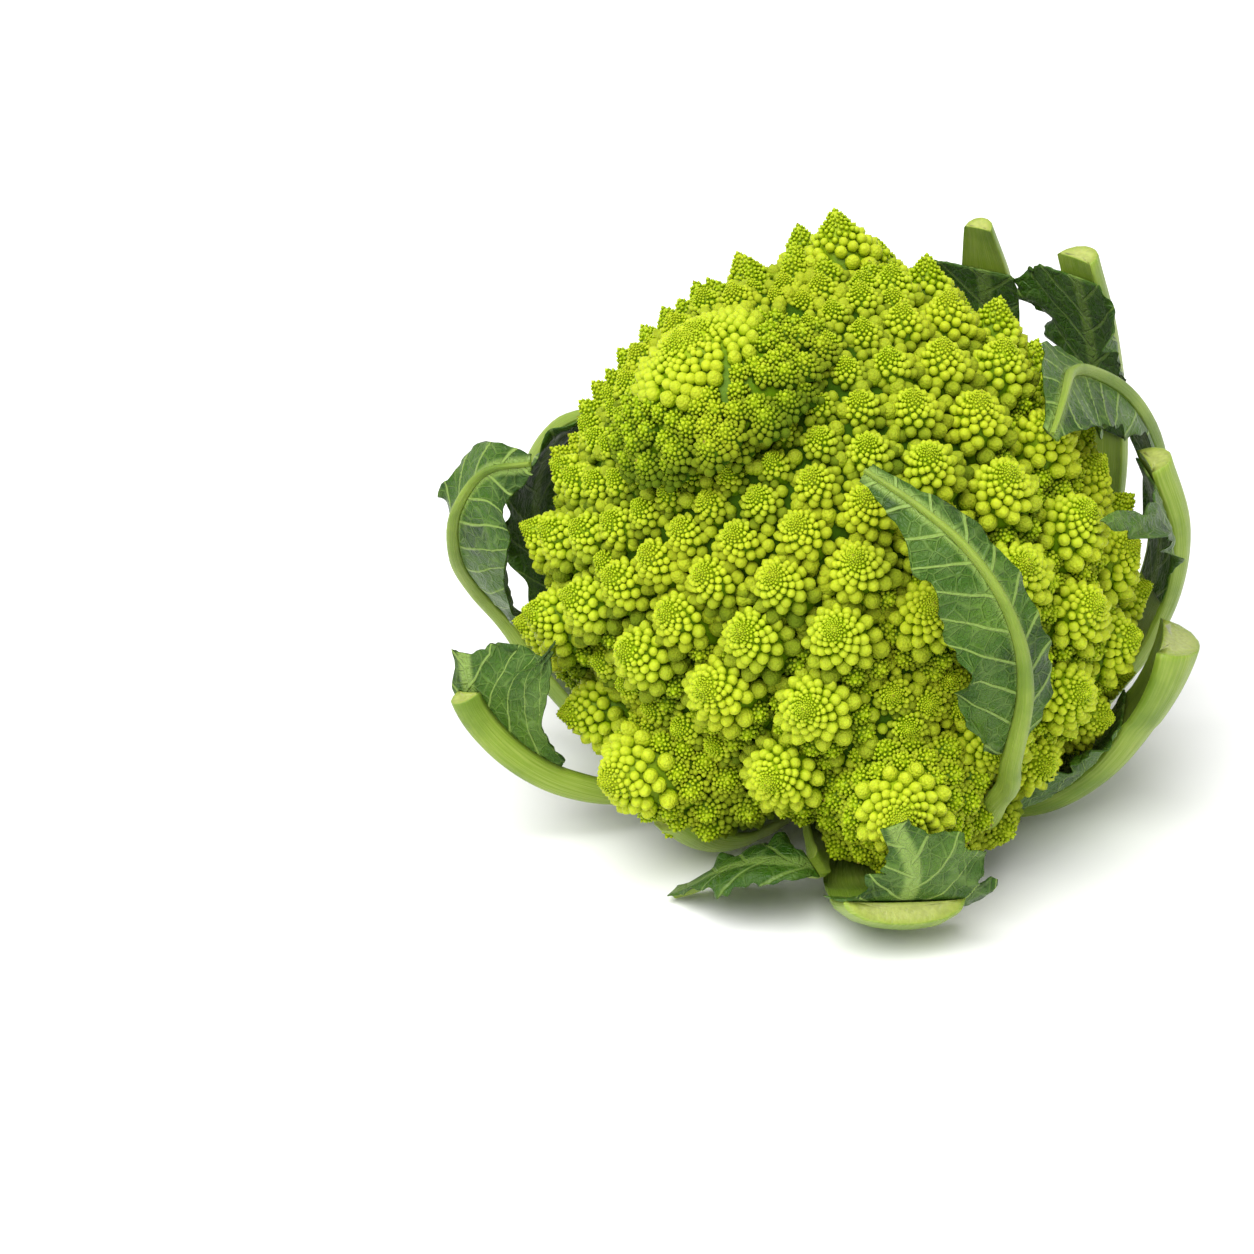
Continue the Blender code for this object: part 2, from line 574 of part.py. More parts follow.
def spine_frames(leaf, shares):
    """Points on a smooth curve through the spine, with its direction, its inward side and its left side."""
    knots = np.array(leaf["spine"], float) * MM
    roll = leaf.get("roll", [(0, 0)])
    lengths = np.concatenate([[0], np.cumsum(np.linalg.norm(np.diff(knots, axis=0), axis=1))])
    slopes = np.gradient(knots, lengths, axis=0)
    places, headings = [], []
    for share in shares:
        at = share * lengths[-1]
        i = int(min(np.searchsorted(lengths, at, side="right") - 1, len(knots) - 2))
        span = lengths[i + 1] - lengths[i]
        t = (at - lengths[i]) / span
        a, b, c, d = knots[i], knots[i + 1], slopes[i] * span, slopes[i + 1] * span
        places.append((2 * t**3 - 3 * t**2 + 1) * a + (t**3 - 2 * t**2 + t) * c
                      + (3 * t**2 - 2 * t**3) * b + (t**3 - t**2) * d)
        headings.append((6 * t**2 - 6 * t) * a + (3 * t**2 - 4 * t + 1) * c
                        + (6 * t - 6 * t**2) * b + (3 * t**2 - 2 * t) * d)
    blade_start = leaf["left"][0][0] if "left" in leaf else 1.0
    places = np.array([draped(p) if s >= blade_start else p for p, s in zip(places, shares)])
    headings = np.array([unit(h) for h in headings])
    inward = DOME_CENTRE - places
    inward -= (inward * headings).sum(axis=1)[:, None] * headings
    inward /= np.linalg.norm(inward, axis=1)[:, None]
    left = np.cross(headings, inward)
    turn = np.radians(np.interp(shares, [k[0] for k in roll], [k[1] for k in roll]))[:, None]
    turned_inward = np.cos(turn) * inward - np.sin(turn) * left
    turned_left = np.cos(turn) * left + np.sin(turn) * inward
    return places, headings, turned_inward, turned_left


def blade_shares(leaf):
    return np.linspace(leaf["left"][0][0], leaf["left"][-1][0], leaf.get("stations", BLADE_STATIONS))


def rib_width(leaf, shares):
    """Half the rib's width, and nothing where the blade runs on past a cut rib."""
    half = along(leaf["rib"], shares) * MM / 2
    return np.where(np.array(shares) > leaf.get("rib_end", 1.0) + SAME_SHARE, LEAST_BLADE, half)


def rib_shares(leaf):
    """The rib has a cross-section at each of the blade's, so that the two stay the same way apart."""
    if "left" not in leaf:
        return np.linspace(0.0, 1.0, BARE_STATIONS + 1)
    under_blade = blade_shares(leaf)
    before = np.linspace(0.0, under_blade[0], BARE_STATIONS + 1)[:-1]
    end = leaf.get("rib_end", 1.0)
    return np.concatenate([before, under_blade[under_blade < end - SAME_SHARE], [end]])


def rib(name, leaf, finish, extra=0.0):
    """The leaf's stalk and middle rib: a tapering bar on the outer side of the blade, cut off square."""
    shares = rib_shares(leaf)
    places, headings, inward, left = spine_frames(leaf, shares)
    places[0] -= extra * headings[0]
    places[-1] += extra * headings[-1]
    half = rib_width(leaf, shares) + extra
    thick = along(leaf["rib"], shares, 2) * MM + 2 * extra
    top = BLADE_THICKNESS / 2 + GAP - extra
    points = []
    for i in range(len(shares)):
        for side, depth in RIB_OUTLINE:
            points.append(places[i] + side * half[i] * left[i] - (top + depth * thick[i]) * inward[i])
    count = len(RIB_OUTLINE)
    faces = []
    for i in range(len(shares) - 1):
        for j in range(count):
            k = (j + 1) % count
            faces += [(i * count + j, i * count + k, (i + 1) * count + k),
                      (i * count + j, (i + 1) * count + k, (i + 1) * count + j)]
    last = (len(shares) - 1) * count
    for j in range(1, count - 1):
        faces += [(j, 0, j + 1), (last, last + j, last + j + 1)]
    return outward(mesh_object(name, points, faces, finish))


def outward(piece):
    shape = bmesh.new()
    shape.from_mesh(piece.data)
    bmesh.ops.recalc_face_normals(shape, faces=shape.faces[:])
    shape.to_mesh(piece.data)
    shape.free()
    return piece


def draped(place):
    """Lifts a point of a blade clear of the florets below it."""
    for standout, spacing in STANDOUTS:
        tip = np.array(standout) * MM
        middle = tip - 0.5 * spacing * floret_axis(unit(tip - DOME_CENTRE))
        apart = np.linalg.norm(place - middle)
        if apart < 0.5 * spacing + DRAPE_CLEARANCE:
            place = middle + (place - middle) * (0.5 * spacing + DRAPE_CLEARANCE) / apart
    outward_from = place - DOME_CENTRE
    away = np.linalg.norm(outward_from)
    clear = dome_reach(outward_from / away) + DRAPE_CLEARANCE - UNDERSIDE_FALL * max(0.0, UNDERSIDE - place[2])
    return place if away > clear else DOME_CENTRE + outward_from * (clear / away)


def blade_grid(leaf):
    """Points of the blade's middle sheet: one row for each station, from its left edge to its right edge."""
    shares = blade_shares(leaf)
    places, headings, inward, left = spine_frames(leaf, shares)
    flat = rib_width(leaf, shares) + RIB_MARGIN  # the middle of the blade, where it lies on the rib
    rows = []
    for i, share in enumerate(shares):
        row = []
        for side, name, curl in ((1, "left", 0), (-1, "right", 1)):
            width = float(along(leaf[name], [share])[0]) * MM
            width -= min(TOOTH * width, DEEPEST_TOOTH) * (i % 2)
            width = max(width, flat[i] + LEAST_BLADE)
            curve = leaf["curl"][curl] / MM
            half_row = [places[i], places[i] + side * flat[i] * left[i]]
            for step in range(1, BLADE_DIVISIONS):
                part_way = step / (BLADE_DIVISIONS - 1)
                bent = (width - flat[i]) * part_way
                turn = curve * bent
                out = math.sin(turn) / curve + flat[i]
                lift = (1 - math.cos(turn)) / curve
                lift += WAVE * math.cos(math.pi * i) * part_way**2 * min(1.0, bent / WAVY_WIDTH)
                place = places[i] + side * out * left[i] + lift * inward[i]
                place = place + leaf.get("sweep", 0.0) * (out - flat[i]) * headings[i]
                half_row.append(draped(place))
            row.append(half_row)
        rows.append(row[0][::-1] + row[1][1:])
    return np.array(rows)


def blade(name, leaf, finish, extra=0.0):
    """The thin green sheet on the inner face of the rib, with a toothed and waved edge."""
    grid = blade_grid(leaf)
    normal = np.cross(np.gradient(grid, axis=0), np.gradient(grid, axis=1))
    normal /= np.linalg.norm(normal, axis=2)[:, :, None]
    inward = spine_frames(leaf, blade_shares(leaf))[2]
    facing = np.sign((normal[:, BLADE_DIVISIONS] * inward).sum(axis=1))
    for column in (BLADE_DIVISIONS - 1, BLADE_DIVISIONS, BLADE_DIVISIONS + 1):
        normal[:, column] = inward * facing[:, None]
    half = BLADE_THICKNESS / 2 + extra
    if extra:
        spread = grid - grid[:, BLADE_DIVISIONS : BLADE_DIVISIONS + 1]
        length = np.linalg.norm(spread, axis=2)[:, :, None]
        grid = grid + extra * spread / np.maximum(length, RIB_MARGIN)
    stations, across_count = grid.shape[:2]
    points = np.concatenate([(grid + half * normal).reshape(-1, 3), (grid - half * normal).reshape(-1, 3)])
    under = stations * across_count
    faces = []
    for i in range(stations - 1):
        for j in range(across_count - 1):
            a, b = i * across_count + j, (i + 1) * across_count + j
            for u, v, w in ((a, b, b + 1), (a, b + 1, a + 1)):
                faces += [(u, v, w), (under + w, under + v, under + u)]
    rim = [(0, j) for j in range(across_count)]
    rim += [(i, across_count - 1) for i in range(1, stations)]
    rim += [(stations - 1, j) for j in range(across_count - 2, -1, -1)]
    rim += [(i, 0) for i in range(stations - 2, 0, -1)]
    ring = [i * across_count + j for i, j in rim]
    for a, b in zip(ring, ring[1:] + ring[:1]):
        faces += [(a, b, under + b), (a, under + b, under + a)]
    return outward(mesh_object(name, points, faces, finish))


def main():
    for old in list(bpy.data.objects):
        bpy.data.objects.remove(old)
    curd_lime = material("curd", *CURD_FINISH)
    stalk_pale = material("stalk", *STALK_FINISH)
    rib_green = material("rib", *RIB_FINISH)
    leaf_green = material("leaf", *LEAF_FINISH)

    curd = curd_core(curd_lime)
    boolean(curd, curd_florets(curd_lime), "UNION")
    keep_largest(curd)
    cutters = [stalk(None, GAP)]
    for name, leaf in LEAVES.items():
        cutters.append(rib("cutter", leaf, None, GAP))
        if "left" in leaf:
            cutters.append(blade("cutter", leaf, None, GAP))
    boolean(curd, cutters, "DIFFERENCE")
    keep_largest(curd)
    close_short_edges(curd)

    stalk(stalk_pale)
    for name, leaf in LEAVES.items():
        rib(f"{name}_rib", leaf, rib_green)
        if "left" in leaf:
            blade(f"{name}_blade", leaf, leaf_green)


main()
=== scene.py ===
import math

import bpy
import numpy as np
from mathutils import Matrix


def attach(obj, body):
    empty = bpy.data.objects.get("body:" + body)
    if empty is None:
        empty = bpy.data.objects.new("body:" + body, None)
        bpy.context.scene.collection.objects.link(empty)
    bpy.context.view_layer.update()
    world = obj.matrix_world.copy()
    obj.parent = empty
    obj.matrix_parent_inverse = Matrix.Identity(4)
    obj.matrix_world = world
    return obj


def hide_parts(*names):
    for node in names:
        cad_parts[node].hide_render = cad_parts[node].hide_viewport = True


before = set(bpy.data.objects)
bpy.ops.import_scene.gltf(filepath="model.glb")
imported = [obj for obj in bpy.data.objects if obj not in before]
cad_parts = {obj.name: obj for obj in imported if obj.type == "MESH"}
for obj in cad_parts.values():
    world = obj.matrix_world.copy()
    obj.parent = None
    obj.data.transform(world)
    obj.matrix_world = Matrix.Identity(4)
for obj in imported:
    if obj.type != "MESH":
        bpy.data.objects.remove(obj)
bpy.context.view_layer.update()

# The curd
# The edible part: hundreds of flower buds that never opened, of firm green flesh full of water, grown as one
# piece over a solid middle. Its florets stand on one golden-angle spiral and get larger away from the tip.

MM = 0.001
DOME_CENTRE = np.array([0.0, 0.0, 62.0]) * MM
DOME_RADIUS = 83 * MM
DOME_RISE = 94 * MM  # the dome's reach straight up
DOME_DROP = 64 * MM  # and straight down
APEX_TILT = (-0.425, -0.31, 0.85)  # the way that the curd's tip points
PEAK_LIFT = 17 * MM
PEAK_SPREAD = math.radians(17)
# Lobes and hollows of the dome: direction, lift and spread
LOBES = (
    (APEX_TILT, -5.5 * MM, math.radians(30)),
    ((-0.05, 0.44, 0.90), 8 * MM, math.radians(16)),
    ((0.26, 0.55, 0.79), -5 * MM, math.radians(14)),
    ((0.12, -0.94, -0.32), 9 * MM, math.radians(20)),
    ((-0.62, -0.72, -0.30), 5 * MM, math.radians(18)),
    ((0.97, -0.15, -0.15), 1 * MM, math.radians(25)),
    ((0.78, 0.02, 0.62), -6 * MM, math.radians(17)),
    ((-0.97, -0.22, 0.10), 7 * MM, math.radians(24)),
)
GOLDEN_ANGLE = math.radians(137.508)
FIRST_TURN = math.radians(40)
# A floret's spacing grows with its distance from the tip, up to the largest
SPACING_GROWTH = 0.30
SPACING_START = 2 * MM
LARGEST_SPACING = 29 * MM
SITE_STEP = 0.2 * MM
APEX_REACH = 25 * MM  # inside this distance the tip is one cone
TIP_CONE_WIDTH = 1.1  # radius and height of that cone, as shares of the distance
TIP_CONE_HEIGHT = 0.78
TIP_LIFT = 2 * MM
TIP_LEAN = np.array([-0.06, 0.22, 0.0])
LOWEST_FLORET = 33 * MM  # no floret's middle is lower than this
FLORET_LEAN = 0.5  # how far a floret leans from the dome's normal towards the curd's tip
TURN_STEP = 0.7  # each floret is turned this many radians more on its axis than the one before
PACKING = 0.866  # area of a floret's or a bud's place, as a share of its width squared
COVERED = 0.8  # the florets cover this share of the dome, from its tip down
# Florets that stand out from the spiral: tip in millimetres and spacing
STANDOUTS = (
    ((11, -96, 42), 52 * MM),
    ((-65, -62, 36), 42 * MM),
    ((-3, 22, 163), 32 * MM),
)
STANDOUT_CLEARANCE = 0.85  # share of the usual spacing kept clear round them
FLORET_RADIUS = 0.47  # of a floret's cone, as a share of its spacing
FLORET_HEIGHT = 0.86
UPRIGHT = 0.9  # an axis with more of z in it than this takes x as its helper


def unit(vector):
    vector = np.asarray(vector, float)
    return vector / np.linalg.norm(vector, axis=-1, keepdims=True)


def across(axis):
    """Two unit vectors square to the axis and to each other."""
    helper = np.array([0.0, 0.0, 1.0]) if abs(axis[2]) < UPRIGHT else np.array([1.0, 0.0, 0.0])
    first = unit(np.cross(helper, axis))
    return first, np.cross(axis, first)


APEX = unit(APEX_TILT)
MEAN_REACH = (2 * DOME_RADIUS + DOME_RISE) / 3


def dome_reach(directions):
    """Distances from the dome's centre to the floret tips in these directions."""
    height = np.where(directions[..., 2] > 0, DOME_RISE, DOME_DROP)
    flat = (directions[..., :2] ** 2).sum(axis=-1)
    reach = 1 / np.sqrt(flat / DOME_RADIUS**2 + directions[..., 2] ** 2 / height**2)
    for lobe, lift, spread in LOBES:
        apart = np.arccos(np.clip(directions @ unit(lobe), -1.0, 1.0))
        reach = reach + lift * np.exp(-((apart / spread) ** 2))
    return reach + PEAK_LIFT * np.exp(-np.arccos(np.clip(directions @ APEX, -1.0, 1.0)) / PEAK_SPREAD)


def floret_spacing(distance):
    return np.minimum(LARGEST_SPACING, SPACING_GROWTH * (distance - SPACING_START))


def floret_sites():
    """Direction from the dome's centre and spacing of each floret, on one spiral from the tip."""
    first, second = across(APEX)
    sites = []
    distance = APEX_REACH
    count = 0.0
    while distance < COVERED * math.pi * MEAN_REACH:
        spacing = float(floret_spacing(distance))
        ring = 2 * math.pi * MEAN_REACH * math.sin(distance / MEAN_REACH)
        share = ring * SITE_STEP / (PACKING * spacing**2)
        if math.floor(count + share) > math.floor(count):
            off_tip = distance / MEAN_REACH
            turn = FIRST_TURN + math.floor(count + share) * GOLDEN_ANGLE
            side = math.cos(turn) * first + math.sin(turn) * second
            sites.append((math.cos(off_tip) * APEX + math.sin(off_tip) * side, spacing))
        count += share
        distance += SITE_STEP
    return sites


def near_standout(tip, spacing):
    for place, wide in STANDOUTS:
        if np.linalg.norm(tip - np.array(place) * MM) < 0.5 * (wide + spacing) * STANDOUT_CLEARANCE:
            return True
    return False


def floret_axis(direction):
    return unit(direction + FLORET_LEAN * APEX)


def floret_frame(axis, turn):
    """Rows: the floret's two sideways directions and its axis."""
    first, second = across(axis)
    spun = math.cos(turn) * first + math.sin(turn) * second
    return np.array([spun, np.cross(axis, spun), axis])


def florets():
    """Every floret's tip, frame, cone radius and cone height, with the curd's own tip last."""
    grown = []
    for number, (direction, spacing) in enumerate(floret_sites()):
        tip = DOME_CENTRE + dome_reach(direction) * direction
        axis = floret_axis(direction)
        middle = tip - 0.5 * spacing * axis
        if middle[2] > LOWEST_FLORET and not near_standout(tip, spacing):
            basis = floret_frame(axis, TURN_STEP * number)
            grown.append((tip, basis, FLORET_RADIUS * spacing, FLORET_HEIGHT * spacing))
    for place, spacing in STANDOUTS:
        tip = np.array(place) * MM
        basis = floret_frame(floret_axis(unit(tip - DOME_CENTRE)), 0.0)
        grown.append((tip, basis, FLORET_RADIUS * spacing, FLORET_HEIGHT * spacing))
    tip = DOME_CENTRE + (dome_reach(APEX) + TIP_LIFT) * APEX
    basis = floret_frame(unit(APEX + TIP_LEAN), 0.0)
    grown.append((tip, basis, TIP_CONE_WIDTH * APEX_REACH, TIP_CONE_HEIGHT * APEX_REACH))
    return grown


# The buds of a floret, in spirals on its cone. Depths are in cone heights below the tip

CONE_POWER = 0.80  # a cone's radius goes with this power of the depth
CONE_WIDEST = 1.1
CONE_TAPER = (1.35, 0.8)  # depth and share of the widest radius, on the way in to the root
CONE_ROOT = 1.75
CONE_STEPS = 1500
LAST_BUD = 1.08  # the depth of the lowest buds
TIP_LAST_BUD = 1.3
# A bud's width, as a share of its distance from the cone's tip
BUD_GROWTH = 0.30
TIP_BUD_GROWTH = 0.235
SIDE_GROWTH = 0.32
FINEST_BUD = 0.7 * MM
SIDE_FINEST = 1.8  # times as wide are the finest buds of a branched bud
BACK_GRAIN = 1.7  # and those at the back of the head
FIRST_BUD = 0.7  # the first bud is this share of its width from the tip
# Up to these widths a bud has each of the shapes below. A wider one is a small floret itself
BEAD = 1.35 * MM
SMALL_BUD = 1.6 * MM
ROUND_BUD = 2.4 * MM
BALL_BUD = 3.5 * MM
TIP_BRANCHED = 4.6 * MM
BRANCHED_BUD = 5.6 * MM
BUD_UPTURN = 0.35  # how far a bud turns up towards its floret's tip
BUD_SUNK = 0.08  # share of its width that a bud is sunk into the cone
TURN_SCATTER = 0.05  # radians off the spiral
DEPTH_SCATTER = 0.02  # share of the depth
WIDTH_SCATTER = (0.92, 1.08)
rng = np.random.default_rng(11)


def round_bud(sides, profile):
    """A closed knob of rings (radius, height) with a point at each end, as points, triangles and heights."""
    turns = 2 * math.pi * np.arange(sides) / sides
    points = [[0.0, 0.0, profile[0][1]]]
    for ring, (radius, height) in enumerate(profile[1:-1]):
        shifted = turns + (ring % 2) * math.pi / sides
        points += [[radius * math.cos(t), radius * math.sin(t), height] for t in shifted]
    points.append([0.0, 0.0, profile[-1][1]])
    rings = len(profile) - 2
    last = len(points) - 1
    triangles = []
    for i in range(sides):
        j = (i + 1) % sides
        triangles += [(0, 1 + i, 1 + j), (last, 1 + (rings - 1) * sides + j, 1 + (rings - 1) * sides + i)]
        for ring in range(rings - 1):
            a, b = 1 + ring * sides, 1 + (ring + 1) * sides
            if ring % 2:
                triangles += [(a + i, b + j, a + j), (a + i, b + i, b + j)]
            else:
                triangles += [(a + i, b + i, a + j), (b + i, b + j, a + j)]
    points = np.array(points)
    return points, np.array(triangles), points[:, 2].clip(0, 1)


BUD_SHAPES = (
    (BEAD, round_bud(6, ((0, -0.5), (0.98, 0.3), (0, 1.45)))),
    (SMALL_BUD, round_bud(5, ((0, -0.5), (0.88, -0.1), (0.84, 0.8), (0, 1.45)))),
    (ROUND_BUD, round_bud(6, ((0, -0.6), (0.84, -0.3), (1.0, 0.5), (0.70, 1.25), (0, 1.7)))),
    (BALL_BUD, round_bud(8, ((0, -0.6), (0.84, -0.3), (1.0, 0.5), (0.70, 1.25), (0, 1.75)))),
    (BRANCHED_BUD, round_bud(10, ((0, -0.6), (0.88, -0.3), (1.0, 0.4), (0.80, 1.1), (0.42, 1.6), (0, 1.85)))),
)
END_BUD = BUD_SHAPES[0][1]
GAP_BUD = BUD_SHAPES[3][1]


def cone_reach(depth):
    """Radius of a cone at a depth, as a share of its own radius. It tapers again to its root."""
    taper = np.interp(depth, [CONE_WIDEST, CONE_TAPER[0], CONE_ROOT], [1, CONE_TAPER[1], 0])
    return np.clip(depth, 0, CONE_WIDEST) ** CONE_POWER * taper


def bud_places(radius, height, growth, finest, last):
    """Depth, turn and width of each bud of a cone, from its tip down."""
    slant = math.hypot(radius, height)
    depths = np.linspace(FIRST_BUD * finest / slant, last, CONE_STEPS)
    widths = np.maximum(growth * slant * depths, finest)
    rings = 2 * math.pi * radius * depths**CONE_POWER
    counts = np.cumsum(rings * slant * (depths[1] - depths[0]) / (PACKING * widths**2))
    numbers = np.arange(1, int(counts[-1]))
    depth = np.interp(numbers, counts, depths)
    return depth, numbers * GOLDEN_ANGLE, np.interp(depth, depths, widths)


def buds_of(tip, basis, radius, height, growth, finest, handed, last):
    """World places, frames, widths and depths of a cone's buds."""
    depth, turn, width = bud_places(radius, height, growth, finest, last)
    turn = turn * handed + rng.normal(0, TURN_SCATTER, len(turn))
    depth = depth * (1 + rng.normal(0, DEPTH_SCATTER, len(depth)))
    reach = radius * cone_reach(depth)
    slope = CONE_POWER * radius / height * depth ** (CONE_POWER - 1)
    normal = unit(np.stack([np.cos(turn), np.sin(turn), slope], axis=1))
    local = np.stack([reach * np.cos(turn), reach * np.sin(turn), -height * depth], axis=1)
    local = local - BUD_SUNK * width[:, None] * normal
    places = tip + local @ basis
    axes = unit(normal + BUD_UPTURN * np.array([0.0, 0.0, 1.0])) @ basis
    spin = rng.uniform(0, 2 * math.pi, len(turn))
    helper = np.where(np.abs(axes[:, 2:3]) < UPRIGHT, [[0.0, 0.0, 1.0]], [[1.0, 0.0, 0.0]])
    first = unit(np.cross(helper, axes))
    second = np.cross(axes, first)
    spun = np.cos(spin)[:, None] * first + np.sin(spin)[:, None] * second
    frames = np.stack([spun, np.cross(axes, spun), axes], axis=1)
    return places, frames, width * rng.uniform(*WIDTH_SCATTER, len(width)), depth


def inside_cone(points, tip, basis, radius, height, margin):
    local = (points - tip) @ basis.T
    depth = -local[:, 2] / height
    return np.hypot(local[:, 0], local[:, 1]) < radius * cone_reach(depth) - margin


# The meshes, one for each side of the head. Every bud is sunk into its cone and every cone into the middle

CURD_PARTS = ("front", "front_right", "back_right", "back", "back_left", "front_left")
SPECKED_SHARE = 0.4  # of the larger florets have a tiny brown spot at their tip
SPECKED_RADIUS = 5 * MM
WIDEST_BUD = 8 * MM
CONE_SIDES = 16
CONE_LEVELS = (0.03, 0.2, 0.55, 1.05, 1.35)
SIDE_CONE_SIDES = 8
SIDE_CONE_LEVELS = (0.08, 0.5, 1.05)
UNDER_BUDS = 0.96  # the smooth cone is this share of the reach of its buds
CONE_TOP = 0.3  # it has the bud tops' painted light down to this depth, fading into the painted shade of a bud's foot
CONE_DEEPEST = 1.2
CONE_TONE = 0.1
BUD_OVERLAP = 0.3  # share of its width that a bud may be inside another cone
END_BUD_WIDTH = 1.3  # of the bud on a floret's tip, in finest buds
# The cone of a branched bud, in shares of the bud's width, and its height in radii
SIDE_RADIUS = 0.56
SIDE_STAND = 0.62
SIDE_HEIGHT = 1.15
FLORET_NEAR = 1.6  # cones closer than this many of their radii are neighbours
SIDE_NEAR = 2
MIDDLE_DEPTH = 0.62  # the middle lies this share of the spacing below the tips
MIDDLE_BOTTOM = 30 * MM
# The middle gets the full painted shade of a bud's foot and of the deepest valley
MIDDLE_TONE = [0.0, CONE_DEEPEST, CONE_TONE, 0.0]
MIDDLE_FINENESS = 5
# Small florets and single buds that stand on the middle, where the gaps between the others have room
GAP_FLORETS = 900  # places tried
GAP_FLORET = (5.5 * MM, 8.5 * MM)  # radius and height of its cone
GAP_FLORET_STAND = 0.8  # share of that height that it stands off the middle
GAP_ROOM = 1.8 * MM
GAP_BUDS = 5400
GAP_SCATTER = 0.012
GAP_BUD_WIDTHS = (2.4 * MM, 4.8 * MM)
GAP_BUD_LOWEST = MIDDLE_BOTTOM + 1 * MM
GAP_BUD_TURN = 6
GAP_BUD_TONE = 0.7  # it has as much painted valley shade as a bud this deep in a floret
shells = {part: {"points": [], "triangles": [], "tones": [], "count": 0} for part in CURD_PARTS + ("tip",)}


def add_shell(part, points, triangles, tones):
    """Adds points, triangles and tones (height, depth, width, speck) to one part of the curd."""
    shell = shells[part]
    shell["points"].append(points.reshape(-1, 3))
    shell["triangles"].append(triangles.reshape(-1, 3) + shell["count"])
    shell["tones"].append(tones.reshape(-1, 4))
    shell["count"] += len(shell["points"][-1])


def add_buds(part, shape, places, frames, widths, depths, specks):
    points, triangles, high = shape
    spread = np.einsum("mk,nkj->nmj", points, frames) * (0.5 * widths)[:, None, None]
    tones = np.empty((len(places), len(points), 4))
    tones[:, :, 0] = high[None, :]
    tones[:, :, 1] = depths[:, None]
    tones[:, :, 2] = (widths / WIDEST_BUD)[:, None]
    tones[:, :, 3] = specks[:, None]
    moved = triangles[None] + (np.arange(len(places)) * len(points))[:, None, None]
    add_shell(part, places[:, None, :] + spread, moved, tones)


def add_cone(part, tip, basis, radius, height, depth, sides, levels):
    """The smooth cone under a floret's buds, down to its root."""
    profile = [(UNDER_BUDS * radius * cone_reach(d), -height * d) for d in (0.0, *levels, CONE_ROOT)]
    points, triangles, _ = round_bud(sides, profile[::-1])
    tones = np.zeros((len(points), 4))
    # The cone's top gets the buds' painted light, fading to the painted shade of a bud's foot lower down; its
    # depth sets the painted valley shade
    tones[:, 0] = np.interp(-points[:, 2] / height, [0.0, CONE_TOP], [1.0, 0.0])
    tones[:, 1] = 0.5 * depth + 0.5 * np.clip(-points[:, 2] / height, 0, CONE_DEEPEST)
    tones[:, 2] = CONE_TONE
    add_shell(part, tip + points @ basis, triangles, tones)


def middle_surface(directions):
    off_tip = np.arccos(np.clip(directions @ APEX, -1, 1))
    depth = MIDDLE_DEPTH * floret_spacing(np.maximum(APEX_REACH, off_tip * MEAN_REACH))
    points = DOME_CENTRE + (dome_reach(directions) - depth)[:, None] * directions
    points[:, 2] = np.maximum(points[:, 2], MIDDLE_BOTTOM)
    return points


def neighbours(cone, cones, reach):
    return [other for other in cones if other is not cone
            and np.linalg.norm(other[0] - cone[0]) < reach * (other[2] + cone[2])]


def grow(part, cone, growth, grain, handed, others, last=LAST_BUD, above=None):
    """Covers a cone with buds. Buds that are wide enough are cones themselves, and grow the same way."""
    tip, basis, radius, height = cone
    speck = 1.0 if radius > SPECKED_RADIUS and rng.random() < SPECKED_SHARE else 0.0
    if above is None:
        add_cone(part, *cone, 0.0, CONE_SIDES, CONE_LEVELS)
        finest = grain * FINEST_BUD
    else:
        add_cone(part, *cone, above, SIDE_CONE_SIDES, SIDE_CONE_LEVELS)
        finest = grain * FINEST_BUD * SIDE_FINEST
    places, frames, widths, depths = buds_of(tip, basis, radius, height, growth, finest, handed, last)
    outwards = places - DOME_CENTRE
    surface = middle_surface(unit(outwards)) - DOME_CENTRE
    shown = np.linalg.norm(outwards, axis=1) > np.linalg.norm(surface, axis=1) - BUD_OVERLAP * widths
    for other in others:
        shown &= ~inside_cone(places, *other, BUD_OVERLAP * widths)
    places, frames, widths, depths = places[shown], frames[shown], widths[shown], depths[shown]
    tones = depths if above is None else 0.5 * above + 0.5 * depths
    first = 0.0
    widest = TIP_BRANCHED if part == "tip" else BRANCHED_BUD
    for width, shape in BUD_SHAPES:
        limit = min(width * grain, widest)
        kind = (widths >= first) & (widths < limit)
        first = limit
        add_buds(part, shape, places[kind], frames[kind], widths[kind], tones[kind], np.zeros(kind.sum()))
    end_place = (tip - 0.5 * finest * basis[2])[None]
    one = np.ones(1)
    add_buds(part, END_BUD, end_place, basis[None], END_BUD_WIDTH * finest * one, 0 * one, speck * one)
    branched = np.flatnonzero(widths >= widest)
    cones = []
    for i in branched:
        small = SIDE_RADIUS * widths[i]
        small_tip = places[i] + SIDE_STAND * widths[i] * frames[i, 2]
        cones.append((small_tip, frames[i], small, SIDE_HEIGHT * small))
    for i, small_cone in zip(branched, cones):
        near = neighbours(small_cone, (*others, *cones, cone), SIDE_NEAR)
        grow(part, small_cone, SIDE_GROWTH, grain, -handed, near, above=tones[i])


def side_of(tip):
    turn = math.atan2(tip[0], -tip[1]) + math.pi / len(CURD_PARTS)
    return CURD_PARTS[int(turn % (2 * math.pi) / (2 * math.pi / len(CURD_PARTS)))]


def spread_directions(count):
    """Directions spread evenly all round, on a golden-angle spiral from the top down."""
    directions = []
    for number in range(count):
        level = 1 - 2 * (number + 0.5) / count
        turn = number * GOLDEN_ANGLE
        flat = math.sqrt(1 - level**2)
        directions.append((flat * math.cos(turn), flat * math.sin(turn), level))
    return np.array(directions)


